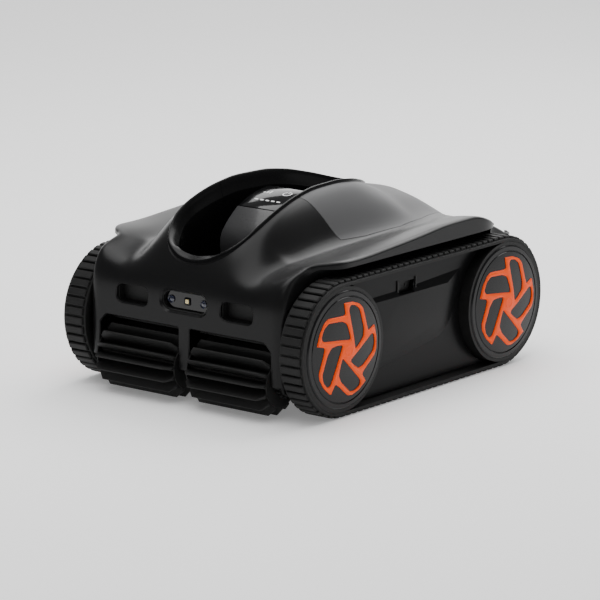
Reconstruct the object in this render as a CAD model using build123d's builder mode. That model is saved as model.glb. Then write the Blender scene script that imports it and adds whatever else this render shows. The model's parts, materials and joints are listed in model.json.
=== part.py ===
from build123d import *
import math
import os

os.makedirs("parts", exist_ok=True)

# Cordless tracked pool cleaner.  Millimetres, +Z up, the front brushes face -Y.
# The origin is on the ground, under the middle of the machine.

# ------------------------------------------------------------------ driving dimensions
# running gear
wheelbase = 342.0
track_r = 87.5            # from the axle to the tips of the track lugs
lug_height = 3.5
lug_width = 31.0
lug_gap = 3.0
lug_count = 100
belt_thickness = 4.0
belt_width = 37.0
belt_x = 160.0            # inner edge of the belts, from the middle of the machine
wheel_clearance = 0.3     # between a wheel rim and its belt
cover_r = 75.0            # glossy wheel cover
cover_edge_x = 198.0
cover_dome = 5.0
cover_wall = 2.5
star_r = 62.0
star_height = 2.2
star_arms = 5
rim_inner_r = 74.0
cover_seat_x = 193.5
wheel_outer_x = 197.0
hub_r = 15.0
axle_r = 8.0
running_fit = 0.05        # radial clearance of every shaft in its bush

# brushes
brush_y = -225.0
brush_z = 45.5
brush_r = 43.0
brush_core_r = 19.0
brush_blades = 15
brush_inner_x = 11.0
brush_outer_x = 139.0
brush_shaft_r = 5.0
blade_thickness = 3.0
disc_r = 30.0
disc_wall = 1.4

# gears, all of one module
axle_gear_teeth = 59
brush_gear_teeth = 18
pinion_teeth = 12
gear_width = 6.0
gear_x = 143.4            # inner face of the gears

# body
body_front_y = -248.0
body_rear_y = 255.0
body_half = 159.0         # inside the tracks
fender_half = 189.0
fender_front_y = -181.0
fender_rear_y = 178.0
fender_bottom = 187.0
shell_wall = 4.0
parting_z = 100.0         # between the upper shell and the chassis
track_bay_r = 92.0

# canopy
canopy_gap = 0.6
canopy_front_y = -98.0
hinge_y = 263.0
hinge_z = 164.0
hinge_r = 5.0
hinge_pin_r = 2.5

# opening in the top of the body
ring_width = 9.0
ring_proud = 3.0
well_floor_z = 158.0
deck_z = 181.0             # floor of the opening where it belongs to the canopy
island_half = 35.0
island_gap = 0.6

# chassis
chassis_half = 141.0
chassis_front_y = -176.0
chassis_bottom = 22.0
chassis_wall = 3.0
frame_x = 150.0           # inner face of the side frames
frame_thickness = 4.5
bush_r = 11.5
bush_flange_r = 12.2
screw_r = 2.0
screw_head_r = 4.0

# sensors on the front face
slot_x = 86.0
slot_width = 52.0
slot_height = 24.0
slot_z = 131.5
camera_width = 72.0
camera_height = 23.0
camera_z = 133.0
sensor_depth = 6.0
lens_x = 26.5

# drive
boss_places = [(-88, 50), (0, 50), (88, 50), (235, 60)]      # (Y, Z) of the frame screws
boss_r = 6.0
motor_angle = -20.0
motor_r = 17.0
motor_shaft_r = 2.5

# filter and pump
intake_half = 62.0
intake_y = (-78.0, -36.0)
duct_wall = 2.0
duct_top = 104.0
basket_y = (-92.0, 134.0)
basket_half = 92.0
basket_z = (105.0, 176.0)
pump_y = 172.0
pump_bottom = 32.0
pump_floor = 101.0
outlet_width = 90.0
outlet_height = 30.0
outlet_z = 125.0

# side panels
panel_x = 186.0
panel_inner_x = 159.6
panel_wall = 2.5
port_outline = [(-33, 147.5), (-7, 147.5), (-12, 133.5), (-41, 133.5)]
post_places = [(-62, 92), (62, 92), (44, 56)]
contact_places = [(-30, 140.5), (-18, 140.5)]

axle_z = track_r
axle_y = wheelbase / 2
belt_outer_r = track_r - lug_height
belt_inner_r = belt_outer_r - belt_thickness
wheel_r = belt_inner_r - wheel_clearance
cover_dome_r = (cover_r ** 2 + cover_dome ** 2) / (2 * cover_dome)
brush_distance = math.hypot(brush_y + axle_y, brush_z - axle_z)
gear_module = 2 * brush_distance / (axle_gear_teeth + brush_gear_teeth)

# The upper surface, as heights and half-widths along the length of the body.
rim_half_width = [(-234, 2), (-233.4, 12), (-230, 30), (-220, 50), (-200, 63), (-180, 69),
                  (-150, 70.5), (-100, 68), (-20, 62), (20, 57), (60, 44), (86, 31),
                  (104, 16), (110, 2)]
rim_height = [(-250, 166), (-234, 180), (-220, 198), (-200, 212.5), (-180, 227), (-140, 244),
              (-100, 254.5), (-60, 259.5), (-20, 259.5), (20, 255.5), (60, 246.5),
              (100, 234.5), (174, 217.5), (218, 195.5), (256, 174)]
valley_half_width = [(-250, 104), (-100, 116), (60, 114), (180, 82), (256, 62)]
valley_height = [(-250, 160), (-230, 170), (-180, 184), (-100, 191), (0, 193), (120, 194),
                 (180, 189.5), (218, 178), (256, 160)]
crease_height = [(-250, 170), (-235, 182), (-181, 197.5), (-131, 196.5), (-59, 200.5),
                 (11, 206), (58, 210.5), (115, 211), (146, 203), (178, 189), (256, 150)]
# Side view of the front face: upright, then leaning back to the foot of the opening.
fascia_profile = [(body_front_y, 0), (body_front_y, 147), (-241, 166), (-235, 180), (-226, 198),
                  (-204, 300), (300, 300), (300, 0)]
section_places = [-248, -234, -220, -200, -170, -120, -60, 0, 60, 100, 130, 174, 218, 255]


def through(points, at):
    """The height of a smooth curve through (place, height) points, with no overshoot."""
    places = [place for place, _ in points]
    heights = [height for _, height in points]
    if at <= places[0]:
        return heights[0]
    if at >= places[-1]:
        return heights[-1]
    spans = [b - a for a, b in zip(places, places[1:])]
    slopes = [(b - a) / span for a, b, span in zip(heights, heights[1:], spans)]
    tangents = [slopes[0]]
    for before, after in zip(slopes, slopes[1:]):
        level = before * after <= 0
        tangents.append(0.0 if level else 2 * before * after / (before + after))
    tangents.append(slopes[-1])
    span = max(i for i in range(len(spans)) if places[i] <= at)
    t = (at - places[span]) / spans[span]
    rise = heights[span + 1] - heights[span]
    start = tangents[span] * spans[span]
    end = tangents[span + 1] * spans[span]
    return heights[span] + rise * (3 - 2 * t) * t ** 2 + start * t * (1 - t) ** 2 - end * (1 - t) * t ** 2


def section_points(y, half_width, drop):
    """Half of one cross-section of the upper surface, from the middle outwards."""
    rim_x = through(rim_half_width, y)
    rim_z = through(rim_height, y)
    valley_x = through(valley_half_width, y)
    valley_z = through(valley_height, y)
    crease_z = through(crease_height, y)
    flank_x = rim_x + 0.45 * (valley_x - rim_x)
    flank_z = valley_z + 0.62 * (rim_z - valley_z)
    ridge_x = valley_x + 0.6 * (fender_half - valley_x)
    ridge_z = crease_z - 0.35 * (crease_z - valley_z) + 1
    points = [(0, rim_z + 2), (rim_x, rim_z), (flank_x, flank_z), (valley_x, valley_z),
              (ridge_x, ridge_z), (fender_half, crease_z)]
    if rim_x < 12:
        points.pop(1)
    return [(x * half_width / fender_half, z - drop) for x, z in points]


def body_block(half_width, front_y, rear_y, bottom_z, drop):
    """The solid under the upper surface, lowered by drop."""
    with BuildPart() as block:
        for place in section_places:
            y = front_y + (place - section_places[0]) * (rear_y - front_y) / (
                section_places[-1] - section_places[0])
            half = section_points(y, half_width, drop)
            crown = [(-x, z) for x, z in reversed(half[1:])] + half
            with BuildSketch(Plane.XZ.offset(-y)):
                with BuildLine():
                    Spline(*crown)
                    Polyline(crown[-1], (half_width, bottom_z), (-half_width, bottom_z), crown[0])
                make_face()
        loft()
        with BuildSketch(Plane.YZ):
            Polygon(*[(y + drop, z) for y, z in fascia_profile], align=None)
        extrude(amount=fender_half + 10, both=True, mode=Mode.INTERSECT)
    return block.part


def mirrored(points):
    """A half outline in +X and its mirror image, as one closed list."""
    return points + [(-x, y) for x, y in reversed(points)]


def plan_block(inset, bottom_z):
    """Plan outline of the body and its fenders, as a tall block."""
    half = [(body_half - 10, body_front_y + inset), (body_half - 3 - inset, body_front_y + 3),
            (body_half - inset, body_front_y + 10), (body_half - inset, fender_front_y + inset),
            (fender_half - inset, fender_front_y + 22), (fender_half - inset, 146),
            (fender_half - 12 - inset, fender_rear_y - inset),
            (body_half - inset, fender_rear_y - inset), (body_half - inset, body_rear_y - 26),
            (body_half - 24, body_rear_y - inset)]
    with BuildPart() as block:
        with BuildSketch(Plane.XY.offset(bottom_z)):
            Polygon(*mirrored(half), align=None)
        extrude(amount=300)
    return block.part


def opening_half(inset):
    """Right half of the opening's rim in plan, moved inwards, from front to rear."""
    half = [(0, rim_half_width[0][0])] + [(x, y) for y, x in rim_half_width[1:-1]]
    half.append((0, rim_half_width[-1][0]))
    moved = []
    for before, (x, y), after in zip(half, half[1:], half[2:]):
        run_x, run_y = after[0] - before[0], after[1] - before[1]
        length = math.hypot(run_x, run_y)
        moved.append((x - inset * run_y / length, y + inset * run_x / length))
    return [(0, half[0][1] + inset)] + moved + [(0, half[-1][1] - 1.3 * inset)]


def opening_block(inset, from_y, to_y, bottom_z):
    """Plan outline of the opening's rim, moved inwards by inset, as a tall block."""
    half = opening_half(inset)
    with BuildPart() as block:
        with BuildSketch(Plane.XY.offset(bottom_z)):
            with BuildLine():
                Spline(*half)
                Spline(*[(-x, y) for x, y in half])
            make_face()
        extrude(amount=300)
        with BuildSketch(Plane.XY.offset(bottom_z)):
            with Locations((0, (from_y + to_y) / 2)):
                Rectangle(2 * fender_half, to_y - from_y)
        extrude(amount=300, mode=Mode.INTERSECT)
    return block.part


def canopy_block(growth, bottom_z):
    """Plan outline of the canopy, as a tall block."""
    half = [(0, canopy_front_y - growth), (68 + growth, canopy_front_y - growth),
            (110 + growth, -67 - growth), (112.5 + growth, -20), (110 + growth, 60),
            (98 + growth, 120), (78 + growth, 180), (60 + growth, body_rear_y + 1)]
    with BuildPart() as block:
        with BuildSketch(Plane.XY.offset(bottom_z)):
            Polygon(*mirrored(half), align=None)
        extrude(amount=300)
    return block.part


def slab(x_limits, y_limits, z_limits):
    """A plain block between limits, for cuts and bosses."""
    spans = [high - low for low, high in (x_limits, y_limits, z_limits)]
    centre = [(low + high) / 2 for low, high in (x_limits, y_limits, z_limits)]
    return Pos(*centre) * Box(*spans, mode=Mode.PRIVATE)


def side_plane(side, x_from, x_to):
    """The YZ plane at the lower end of a stretch of X on the right (1) or the left (-1)."""
    return Plane.YZ.offset(min(side * x_from, side * x_to))


def turned(side, y, z, profile):
    """A solid turned about an axis along X, from (x, radius) points."""
    with BuildPart() as lathe:
        with BuildSketch(Plane((0, y, z), x_dir=(1, 0, 0), z_dir=(0, -1, 0))):
            Polygon(*[(side * x, radius) for x, radius in profile], align=None)
        revolve(axis=Axis((0, y, z), (1, 0, 0)))
    return lathe.part


def domed(side, y, inner, outer, edge_r):
    """The layer between two heights over the wheel cover's domed face."""
    def dome_x(radius, height):
        sunk = cover_dome_r - math.sqrt(cover_dome_r ** 2 - radius ** 2)
        return side * (cover_edge_x + cover_dome - sunk + height)
    with BuildPart() as layer:
        with BuildSketch(Plane((0, y, axle_z), x_dir=(1, 0, 0), z_dir=(0, -1, 0))):
            with BuildLine():
                ThreePointArc((dome_x(0, outer), 0), (dome_x(edge_r / 2, outer), edge_r / 2),
                              (dome_x(edge_r, outer), edge_r))
                Line((dome_x(edge_r, outer), edge_r), (dome_x(edge_r, inner), edge_r))
                ThreePointArc((dome_x(edge_r, inner), edge_r),
                              (dome_x(edge_r / 2, inner), edge_r / 2), (dome_x(0, inner), 0))
                Line((dome_x(0, inner), 0), (dome_x(0, outer), 0))
            make_face()
        revolve(axis=Axis((0, y, axle_z), (1, 0, 0)))
    return layer.part


def gear_teeth(teeth, phase, bore_r):
    """Tooth outlines of a spur gear, drawn into the sketch that is open."""
    pitch_r = gear_module * teeth / 2
    root_r = pitch_r - 1.15 * gear_module
    tip_r = pitch_r + 0.75 * gear_module
    half_root = 0.40 * math.pi * gear_module / 2 + 0.36 * 1.15 * gear_module
    half_pitch = 0.43 * math.pi * gear_module / 2
    half_tip = half_pitch - 0.36 * 0.75 * gear_module
    Circle(root_r)
    with PolarLocations(0, teeth, start_angle=phase):
        Polygon((root_r - 1, -half_root), (root_r, -half_root), (pitch_r, -half_pitch),
                (tip_r, -half_tip), (tip_r, half_tip), (pitch_r, half_pitch),
                (root_r, half_root), (root_r - 1, half_root), align=None)
    Circle(bore_r, mode=Mode.SUBTRACT)


def finish(piece, label):
    """Name a piece and write it."""
    piece.label = label
    export_step(piece, f"parts/{label}.step")


# ------------------------------------------------------------------ upper shell and canopy
outer_block = body_block(fender_half, body_front_y, body_rear_y, 20, 0)
inner_block = body_block(fender_half - 3, body_front_y, body_rear_y - shell_wall, 10, shell_wall)

canopy_bottom = 150.0
plan = plan_block(0, 0)
fender_room = plan_block(shell_wall, fender_bottom + 3)
canopy_plan = canopy_block(0, canopy_bottom)
canopy_hole = canopy_block(canopy_gap, canopy_bottom - canopy_gap)
opening_hole = opening_block(0, -300, 300, 100)

with BuildPart() as room:
    add(slab((-body_half + shell_wall, body_half - shell_wall), (-300, 300), (0, 300)))
    add(fender_room)

with BuildPart() as cavity:
    add(inner_block)
    add(room.part, mode=Mode.INTERSECT)

with BuildPart() as skin:
    add(outer_block)
    add(plan, mode=Mode.INTERSECT)
    add(cavity.part, mode=Mode.SUBTRACT)

with BuildPart() as top_shell:
    add(skin.part)
    add(canopy_hole, mode=Mode.SUBTRACT)
    add(opening_hole, mode=Mode.SUBTRACT)
    # nothing below the parting plane except the front face and its pillars
    add(slab((-200, 200), (-186, 300), (0, parting_z)), mode=Mode.SUBTRACT)
    add(slab((-200, 200), (-300, 300), (0, brush_z)), mode=Mode.SUBTRACT)
    for side in (1, -1):
        # room for the belt under the fender
        with BuildSketch(side_plane(side, body_half, 200)):
            with Locations((0, axle_z)):
                SlotCenterToCenter(wheelbase, 2 * track_bay_r)
            with Locations((0, fender_bottom / 2)):
                Rectangle(620, fender_bottom)
        extrude(amount=200 - body_half, mode=Mode.SUBTRACT)
        # brush window
        with BuildSketch(Plane.XZ.offset(-body_front_y - 12)):
            Polygon(*[(side * x, z) for x, z in (
                (9, 0), (9, parting_z), (129, parting_z), (141, parting_z - 12), (141, 0))],
                align=None)
        extrude(amount=30, mode=Mode.SUBTRACT)
        # sensor slot
        with BuildSketch(Plane.XZ.offset(-body_front_y - 12)):
            with Locations((side * slot_x, slot_z)):
                RectangleRounded(slot_width, slot_height, 7.5)
        extrude(amount=30, mode=Mode.SUBTRACT)
        # hinge brackets for the canopy
        with BuildSketch(side_plane(side, 15, 30)):
            Polygon((252, 118), (252, 148), (256.5, 151), (257.5, hinge_z),
                    (hinge_y + hinge_r, hinge_z), (hinge_y + hinge_r, 152), align=None)
            with Locations((hinge_y, hinge_z)):
                Circle(hinge_r)
                Circle(hinge_pin_r, mode=Mode.SUBTRACT)
        extrude(amount=15)
    with BuildSketch(Plane.XZ.offset(-body_front_y - 12)):
        with Locations((0, camera_z)):
            SlotOverall(camera_width, camera_height)
    extrude(amount=30, mode=Mode.SUBTRACT)
    # water outlet in the rear wall
    with BuildSketch(Plane.XZ.offset(-body_rear_y - 10)):
        with Locations((0, outlet_z)):
            RectangleRounded(outlet_width, outlet_height, 6)
    extrude(amount=20, mode=Mode.SUBTRACT)
finish(top_shell.part, "top_shell")

with BuildPart() as canopy:
    add(skin.part)
    add(canopy_plan, mode=Mode.INTERSECT)
    add(opening_hole, mode=Mode.SUBTRACT)
    with BuildSketch(Plane.YZ.offset(-14)):
        Polygon((252, 156), (hinge_y, hinge_z - hinge_r), (hinge_y, hinge_z + hinge_r),
                (252, hinge_z + hinge_r), align=None)
        with Locations((hinge_y, hinge_z)):
            Circle(hinge_r)
            Circle(hinge_pin_r + running_fit, mode=Mode.SUBTRACT)
    extrude(amount=28)
finish(canopy.part, "canopy")

with BuildPart() as canopy_hinge_pin:
    with BuildSketch(Plane.YZ.offset(-31)):
        with Locations((hinge_y, hinge_z)):
            Circle(hinge_pin_r)
    extrude(amount=62)
finish(canopy_hinge_pin.part, "canopy_hinge_pin")

# ------------------------------------------------------------------ opening, well and handle
ring_outer = opening_block(0.2, -300, canopy_front_y, 0)
ring_outer_rear = opening_block(0.2, canopy_front_y + island_gap, 300, 0)
ring_inner = opening_block(ring_width, -300, 300, 0)
deck_outline = opening_block(ring_width + 0.3, canopy_front_y + island_gap, 300, 0)


def crest_block(bottom_z, lift):
    """Everything between a level and the arched crest of the ring, across the body."""
    crest = [(y, z + lift) for y, z in rim_height[1:13]]
    with BuildPart() as block:
        with BuildSketch(Plane.YZ):
            with BuildLine():
                Spline(*crest)
                Polyline(crest[-1], (crest[-1][0], bottom_z), (crest[0][0], bottom_z), crest[0])
            make_face()
        extrude(amount=fender_half, both=True)
    return block.part


front_crest = crest_block(well_floor_z + 3, ring_proud)
rear_crest = crest_block(deck_z, ring_proud)

with BuildPart() as opening_ring_front:
    add(ring_outer)
    add(front_crest, mode=Mode.INTERSECT)
    add(ring_inner, mode=Mode.SUBTRACT)
finish(opening_ring_front.part, "opening_ring_front")

with BuildPart() as opening_ring_rear:
    add(ring_outer_rear)
    add(rear_crest, mode=Mode.INTERSECT)
    add(ring_inner, mode=Mode.SUBTRACT)
finish(opening_ring_rear.part, "opening_ring_rear")

with BuildPart() as well_floor:
    add(ring_outer)
    add(slab((-80, 80), (-300, 0), (well_floor_z, well_floor_z + 3)), mode=Mode.INTERSECT)
finish(well_floor.part, "well_floor")

# The lower part of the carry handle stands in the well; its front is a swept arch.
island_front = [(-130, well_floor_z + 3), (-134, 180), (-134.5, 190), (-130, 201.5),
                (-118, 214.5), (-98, 230)]
with BuildPart() as handle_base:
    with BuildSketch(Plane.YZ.offset(-island_half)):
        with BuildLine():
            Spline(*island_front)
            Polyline(island_front[-1], (canopy_front_y, well_floor_z + 3), island_front[0])
        make_face()
    extrude(amount=2 * island_half)
    with BuildSketch(Plane.YZ.offset(-island_half + 3)):
        with BuildLine():
            Spline(*[(y + 3, z - 2) for y, z in island_front[1:-1]])
            Polyline((-115, 212.5), (canopy_front_y - 3, 212.5),
                     (canopy_front_y - 3, 165), (-131, 165), (-131, 178))
        make_face()
    extrude(amount=2 * island_half - 6, mode=Mode.SUBTRACT)
finish(handle_base.part, "handle_base")

# The upper part rides on the canopy and carries the display; behind it is the hand slot.
bridge_top = [(canopy_front_y + island_gap, 229), (-73.5, 238.5), (-50, 243.5), (-36, 245.3)]
with BuildPart() as handle_bridge:
    with BuildSketch(Plane.YZ.offset(-island_half)):
        with BuildLine():
            Spline(*bridge_top)
            Polyline(bridge_top[-1], (-30, 241), (-30, deck_z + 3),
                     (canopy_front_y + island_gap, deck_z + 3), bridge_top[0])
        make_face()
    extrude(amount=2 * island_half)
    add(slab((-island_half + 3, island_half - 3), (-94, -33), (deck_z + 3, 222)), mode=Mode.SUBTRACT)
finish(handle_bridge.part, "handle_bridge")

with BuildPart() as display_panel:
    with BuildSketch(Plane.YZ.offset(-island_half + 1)):
        with BuildLine():
            Spline(*bridge_top)
            Line(bridge_top[-1], (bridge_top[-1][0], bridge_top[-1][1] + 1.5))
            Spline(*[(y, z + 1.5) for y, z in reversed(bridge_top)])
            Line((bridge_top[0][0], bridge_top[0][1] + 1.5), bridge_top[0])
        make_face()
    extrude(amount=2 * island_half - 2)
finish(display_panel.part, "display_panel")

with BuildPart() as canopy_deck:
    with BuildSketch(Plane.YZ.offset(-80)):
        Polygon((canopy_front_y + island_gap, deck_z), (26, deck_z), (96, 218), (96, 221),
                (24, deck_z + 3), (canopy_front_y + island_gap, deck_z + 3), align=None)
    extrude(amount=160)
    add(deck_outline, mode=Mode.INTERSECT)
finish(canopy_deck.part, "canopy_deck")

# ------------------------------------------------------------------ chassis and side frames
pinion_distance = gear_module * (axle_gear_teeth + pinion_teeth) / 2
motor_y = -axle_y + pinion_distance * math.cos(math.radians(motor_angle))
motor_z = axle_z + pinion_distance * math.sin(math.radians(motor_angle))

with BuildPart() as chassis:
    with BuildSketch(Plane.YZ.offset(-chassis_half)):
        Polygon((chassis_front_y, chassis_bottom + 14), (chassis_front_y + 14, chassis_bottom),
                (190, chassis_bottom), (body_rear_y - 3, 62), (body_rear_y - 3, parting_z - 0.6),
                (chassis_front_y, parting_z - 0.6), align=None)
    extrude(amount=2 * chassis_half)
    with BuildSketch(Plane.YZ.offset(-chassis_half + chassis_wall)):
        Polygon((chassis_front_y + 3, chassis_bottom + 16), (chassis_front_y + 16, chassis_bottom + 3),
                (189, chassis_bottom + 3), (body_rear_y - 6, 63), (body_rear_y - 6, parting_z + 5),
                (chassis_front_y + 3, parting_z + 5), align=None)
    extrude(amount=2 * (chassis_half - chassis_wall), mode=Mode.SUBTRACT)
    # suction mouth in the floor, with a duct up to the basket
    add(slab((-intake_half, intake_half), intake_y, (chassis_bottom, duct_top)))
    add(slab((-intake_half + duct_wall, intake_half - duct_wall),
             (intake_y[0] + duct_wall, intake_y[1] - duct_wall), (0, duct_top + 5)),
        mode=Mode.SUBTRACT)
    # splash guard over the brushes, open in the middle for their bracket
    with BuildSketch(Plane.YZ.offset(-136)):
        with Locations((brush_y, brush_z)):
            Circle(brush_r + 5)
            Circle(brush_r + 2.5, mode=Mode.SUBTRACT)
        with Locations((brush_y + 60, brush_z + 60)):
            Rectangle(120, 120, mode=Mode.INTERSECT)
        with Locations(((brush_y + brush_r + chassis_front_y + 3) / 2 + 1, brush_z + 8)):
            Rectangle(chassis_front_y - brush_y - brush_r + 0.6, 16)
    extrude(amount=272)
    add(slab((-8.2, 8.2), (-290, chassis_front_y), (40, 130)), mode=Mode.SUBTRACT)
    for side in (1, -1):
        # screw bosses that hold the side frame clear of the gears
        with BuildSketch(side_plane(side, chassis_half - 1, frame_x)):
            with Locations(*boss_places):
                Circle(boss_r)
        extrude(amount=frame_x - chassis_half + 1)
        with BuildSketch(side_plane(side, chassis_half - 4, frame_x + 1)):
            with Locations(*boss_places):
                Circle(screw_r)
        extrude(amount=frame_x + 5 - chassis_half, mode=Mode.SUBTRACT)
        # hole for the drive motor's nose
        with BuildSketch(side_plane(side, chassis_half - 6, chassis_half + 2)):
            with Locations((motor_y, motor_z)):
                Circle(7.0)
        extrude(amount=8, mode=Mode.SUBTRACT)
finish(chassis.part, "chassis")

with BuildPart() as side_frames:
    for side in (1, -1):
        with BuildSketch(side_plane(side, frame_x, frame_x + frame_thickness)):
            with Locations((0, axle_z - 12)):
                Rectangle(wheelbase, 71)
            with Locations((-axle_y, axle_z - 12), (axle_y, axle_z - 12)):
                Circle(35.5)
            with Locations((235, 60)):
                Circle(boss_r + 3)
            with Locations((215, 70)):
                Rectangle(50, 24)
            with BuildSketch(mode=Mode.PRIVATE) as arm:
                with Locations((brush_y, brush_z)):
                    Circle(14)
                with Locations((-axle_y, axle_z - 12)):
                    Circle(24)
                make_hull()
            add(arm.sketch)
            with Locations((-axle_y, axle_z), (axle_y, axle_z)):
                Circle(bush_r, mode=Mode.SUBTRACT)
            with Locations((brush_y, brush_z)):
                Circle(brush_shaft_r + running_fit, mode=Mode.SUBTRACT)
            with Locations(*boss_places):
                Circle(screw_r, mode=Mode.SUBTRACT)
        extrude(amount=frame_thickness)
finish(side_frames.part, "side_frames")

with BuildPart() as frame_screws:
    for side in (1, -1):
        with BuildSketch(side_plane(side, chassis_half - 3, frame_x + frame_thickness)):
            with Locations(*boss_places):
                Circle(screw_r)
        extrude(amount=frame_x + frame_thickness - chassis_half + 3)
        head_x = frame_x + frame_thickness
        with BuildSketch(side_plane(side, head_x, head_x + 2.4)):
            with Locations(*boss_places):
                Circle(screw_head_r)
                RegularPolygon(1.6, 6, mode=Mode.SUBTRACT)
        extrude(amount=2.4)
finish(frame_screws.part, "frame_screws")

# ------------------------------------------------------------------ side panels inside the tracks
for side, hand in ((1, "right"), (-1, "left")):
    with BuildPart() as side_panel:
        with BuildSketch(side_plane(side, panel_inner_x, panel_x)):
            with Locations((0, axle_z)):
                Rectangle(2 * axle_y, 2 * (belt_inner_r - 2))
            with Locations((-axle_y, axle_z), (axle_y, axle_z)):
                Circle(belt_inner_r + 1.5, mode=Mode.SUBTRACT)
        extrude(amount=panel_x - panel_inner_x)
        # hollow behind its outer wall
        with BuildSketch(side_plane(side, panel_inner_x - 1, panel_x - panel_wall)):
            with Locations((0, axle_z)):
                Rectangle(2 * axle_y, 2 * (belt_inner_r - 2 - panel_wall))
            with Locations((-axle_y, axle_z), (axle_y, axle_z)):
                Circle(belt_inner_r + 1.5 + panel_wall, mode=Mode.SUBTRACT)
        extrude(amount=panel_x - panel_wall - panel_inner_x + 1, mode=Mode.SUBTRACT)
        with BuildSketch(side_plane(side, frame_x + frame_thickness, panel_x - 1)):
            with Locations(*post_places):
                Circle(4)
        extrude(amount=panel_x - 1 - frame_x - frame_thickness)
        if side == 1:
            with BuildSketch(Plane.YZ.offset(panel_x - 10)):
                Polygon(*port_outline, align=None)
            extrude(amount=12, mode=Mode.SUBTRACT)
    finish(side_panel.part, f"side_panel_{hand}")

# ------------------------------------------------------------------ tracks
lug_pitch = (2 * wheelbase + 2 * math.pi * belt_outer_r) / lug_count


def along_track(distance, radius):
    """The place and angle on a belt line, from the top of the front wheel rearwards."""
    arc = math.pi * belt_outer_r
    if distance < wheelbase:
        return -axle_y + distance, axle_z + radius, 0.0
    distance -= wheelbase
    if distance < arc:
        turn = distance / belt_outer_r
        return axle_y + radius * math.sin(turn), axle_z + radius * math.cos(turn), -math.degrees(turn)
    distance -= arc
    if distance < wheelbase:
        return axle_y - distance, axle_z - radius, 180.0
    turn = math.pi + (distance - wheelbase) / belt_outer_r
    return (-axle_y + radius * math.sin(turn), axle_z + radius * math.cos(turn),
            -math.degrees(turn))


grooves = []
for lug in range(lug_count):
    groove_y, groove_z, tilt = along_track((lug + 0.5) * lug_pitch, belt_outer_r + lug_height / 2)
    grooves.append(Location((groove_y, groove_z, 0), (0, 0, tilt)))

for side, hand in ((1, "right"), (-1, "left")):
    rim = (belt_width - lug_width) / 2
    with BuildPart() as track:
        with BuildSketch(side_plane(side, belt_x, belt_x + belt_width)):
            with Locations((0, axle_z)):
                SlotCenterToCenter(wheelbase, 2 * belt_outer_r)
                SlotCenterToCenter(wheelbase, 2 * belt_inner_r, mode=Mode.SUBTRACT)
        extrude(amount=belt_width)
        with BuildSketch(side_plane(side, belt_x + rim, belt_x + rim + lug_width)):
            with Locations((0, axle_z)):
                SlotCenterToCenter(wheelbase, 2 * track_r)
                SlotCenterToCenter(wheelbase, 2 * belt_outer_r - 1, mode=Mode.SUBTRACT)
            with Locations(*grooves):
                Rectangle(lug_gap, lug_height, mode=Mode.SUBTRACT)
        extrude(amount=lug_width)
    finish(track.part, f"track_{hand}")

# ------------------------------------------------------------------ wheels
blade_tip = [(-5.5, 61.6), (13.0, 60.6), (27.0, 55.6), (33.4, 49.4), (36.6, 39.2), (39.3, 29.0)]
window = [(4.4, 51.0), (7.6, 55.0), (18.0, 53.2), (25.6, 47.3), (32.2, 23.0), (31.2, 13.0),
          (22.5, 5.6), (14.6, 0.6), (11.2, 18.7)]
frame_face_x = frame_x + frame_thickness
wheel_hub_x = belt_x + 2.0


def turned_by(point, degrees):
    """A point of the YZ plane turned clockwise about the wheel's centre."""
    a = math.radians(degrees)
    y, z = point
    return (y * math.cos(a) + z * math.sin(a), z * math.cos(a) - y * math.sin(a))


for end, where in ((-1, "front"), (1, "rear")):
    for side, hand in ((1, "right"), (-1, "left")):
        y = end * axle_y
        pulley = turned(side, y, axle_z, [
            (wheel_hub_x, axle_r), (192, axle_r), (192, hub_r), (177, hub_r), (177, rim_inner_r),
            (cover_seat_x, rim_inner_r), (cover_seat_x, cover_r + 0.2),
            (wheel_outer_x, cover_r + 0.2), (wheel_outer_x, wheel_r), (belt_x + 1, wheel_r),
            (belt_x + 1, rim_inner_r), (173, rim_inner_r), (173, hub_r), (wheel_hub_x, hub_r)])
        finish(pulley, f"pulley_{where}_{hand}")

        skirt = turned(side, y, axle_z, [
            (cover_seat_x, cover_r - cover_wall), (cover_edge_x - 1, cover_r - cover_wall),
            (cover_edge_x, cover_r), (cover_seat_x, cover_r)])
        dome = domed(side, y, -cover_wall, 0, cover_r)
        with BuildPart() as wheel_cover:
            add(dome)
            add(skirt)
        finish(wheel_cover.part, f"wheel_cover_{where}_{hand}")

        layer = domed(side, y, 0, star_height, star_r + 4)
        with BuildPart() as wheel_star:
            with BuildSketch(side_plane(side, cover_edge_x - 6, cover_edge_x + 12)):
                outline = []
                for arm in range(star_arms):
                    turn = arm * 360 / star_arms
                    outline += [turned_by(point, turn) for point in blade_tip]
                    outline.append(turned_by((43.0, 18.4), turn))
                with Locations((y, axle_z)):
                    Polygon(*outline, align=None)
                    for arm in range(star_arms):
                        turn = arm * 360 / star_arms
                        Polygon(*[turned_by(point, turn) for point in window], align=None,
                                mode=Mode.SUBTRACT)
            extrude(amount=18)
            add(layer, mode=Mode.INTERSECT)
        finish(wheel_star.part, f"wheel_star_{where}_{hand}")

        axle = turned(side, y, axle_z, [
            (gear_x - 1.2, 0), (gear_x - 1.2, axle_r), (frame_face_x + 4.6, axle_r),
            (frame_face_x + 4.6, axle_r + 3), (wheel_hub_x, axle_r + 3), (wheel_hub_x, axle_r),
            (191, axle_r), (191, 0)])
        finish(axle, f"wheel_axle_{where}_{hand}")

bushes = [turned(side, end * axle_y, axle_z, [
    (frame_x, axle_r + running_fit), (frame_face_x + 4.3, axle_r + running_fit),
    (frame_face_x + 4.3, bush_r), (frame_face_x + 2, bush_r),
    (frame_face_x + 2, bush_flange_r), (frame_face_x, bush_flange_r),
    (frame_face_x, bush_r), (frame_x, bush_r)]) for side in (1, -1) for end in (1, -1)]
with BuildPart() as axle_bushes:
    add(bushes)
finish(axle_bushes.part, "axle_bushes")

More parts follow.
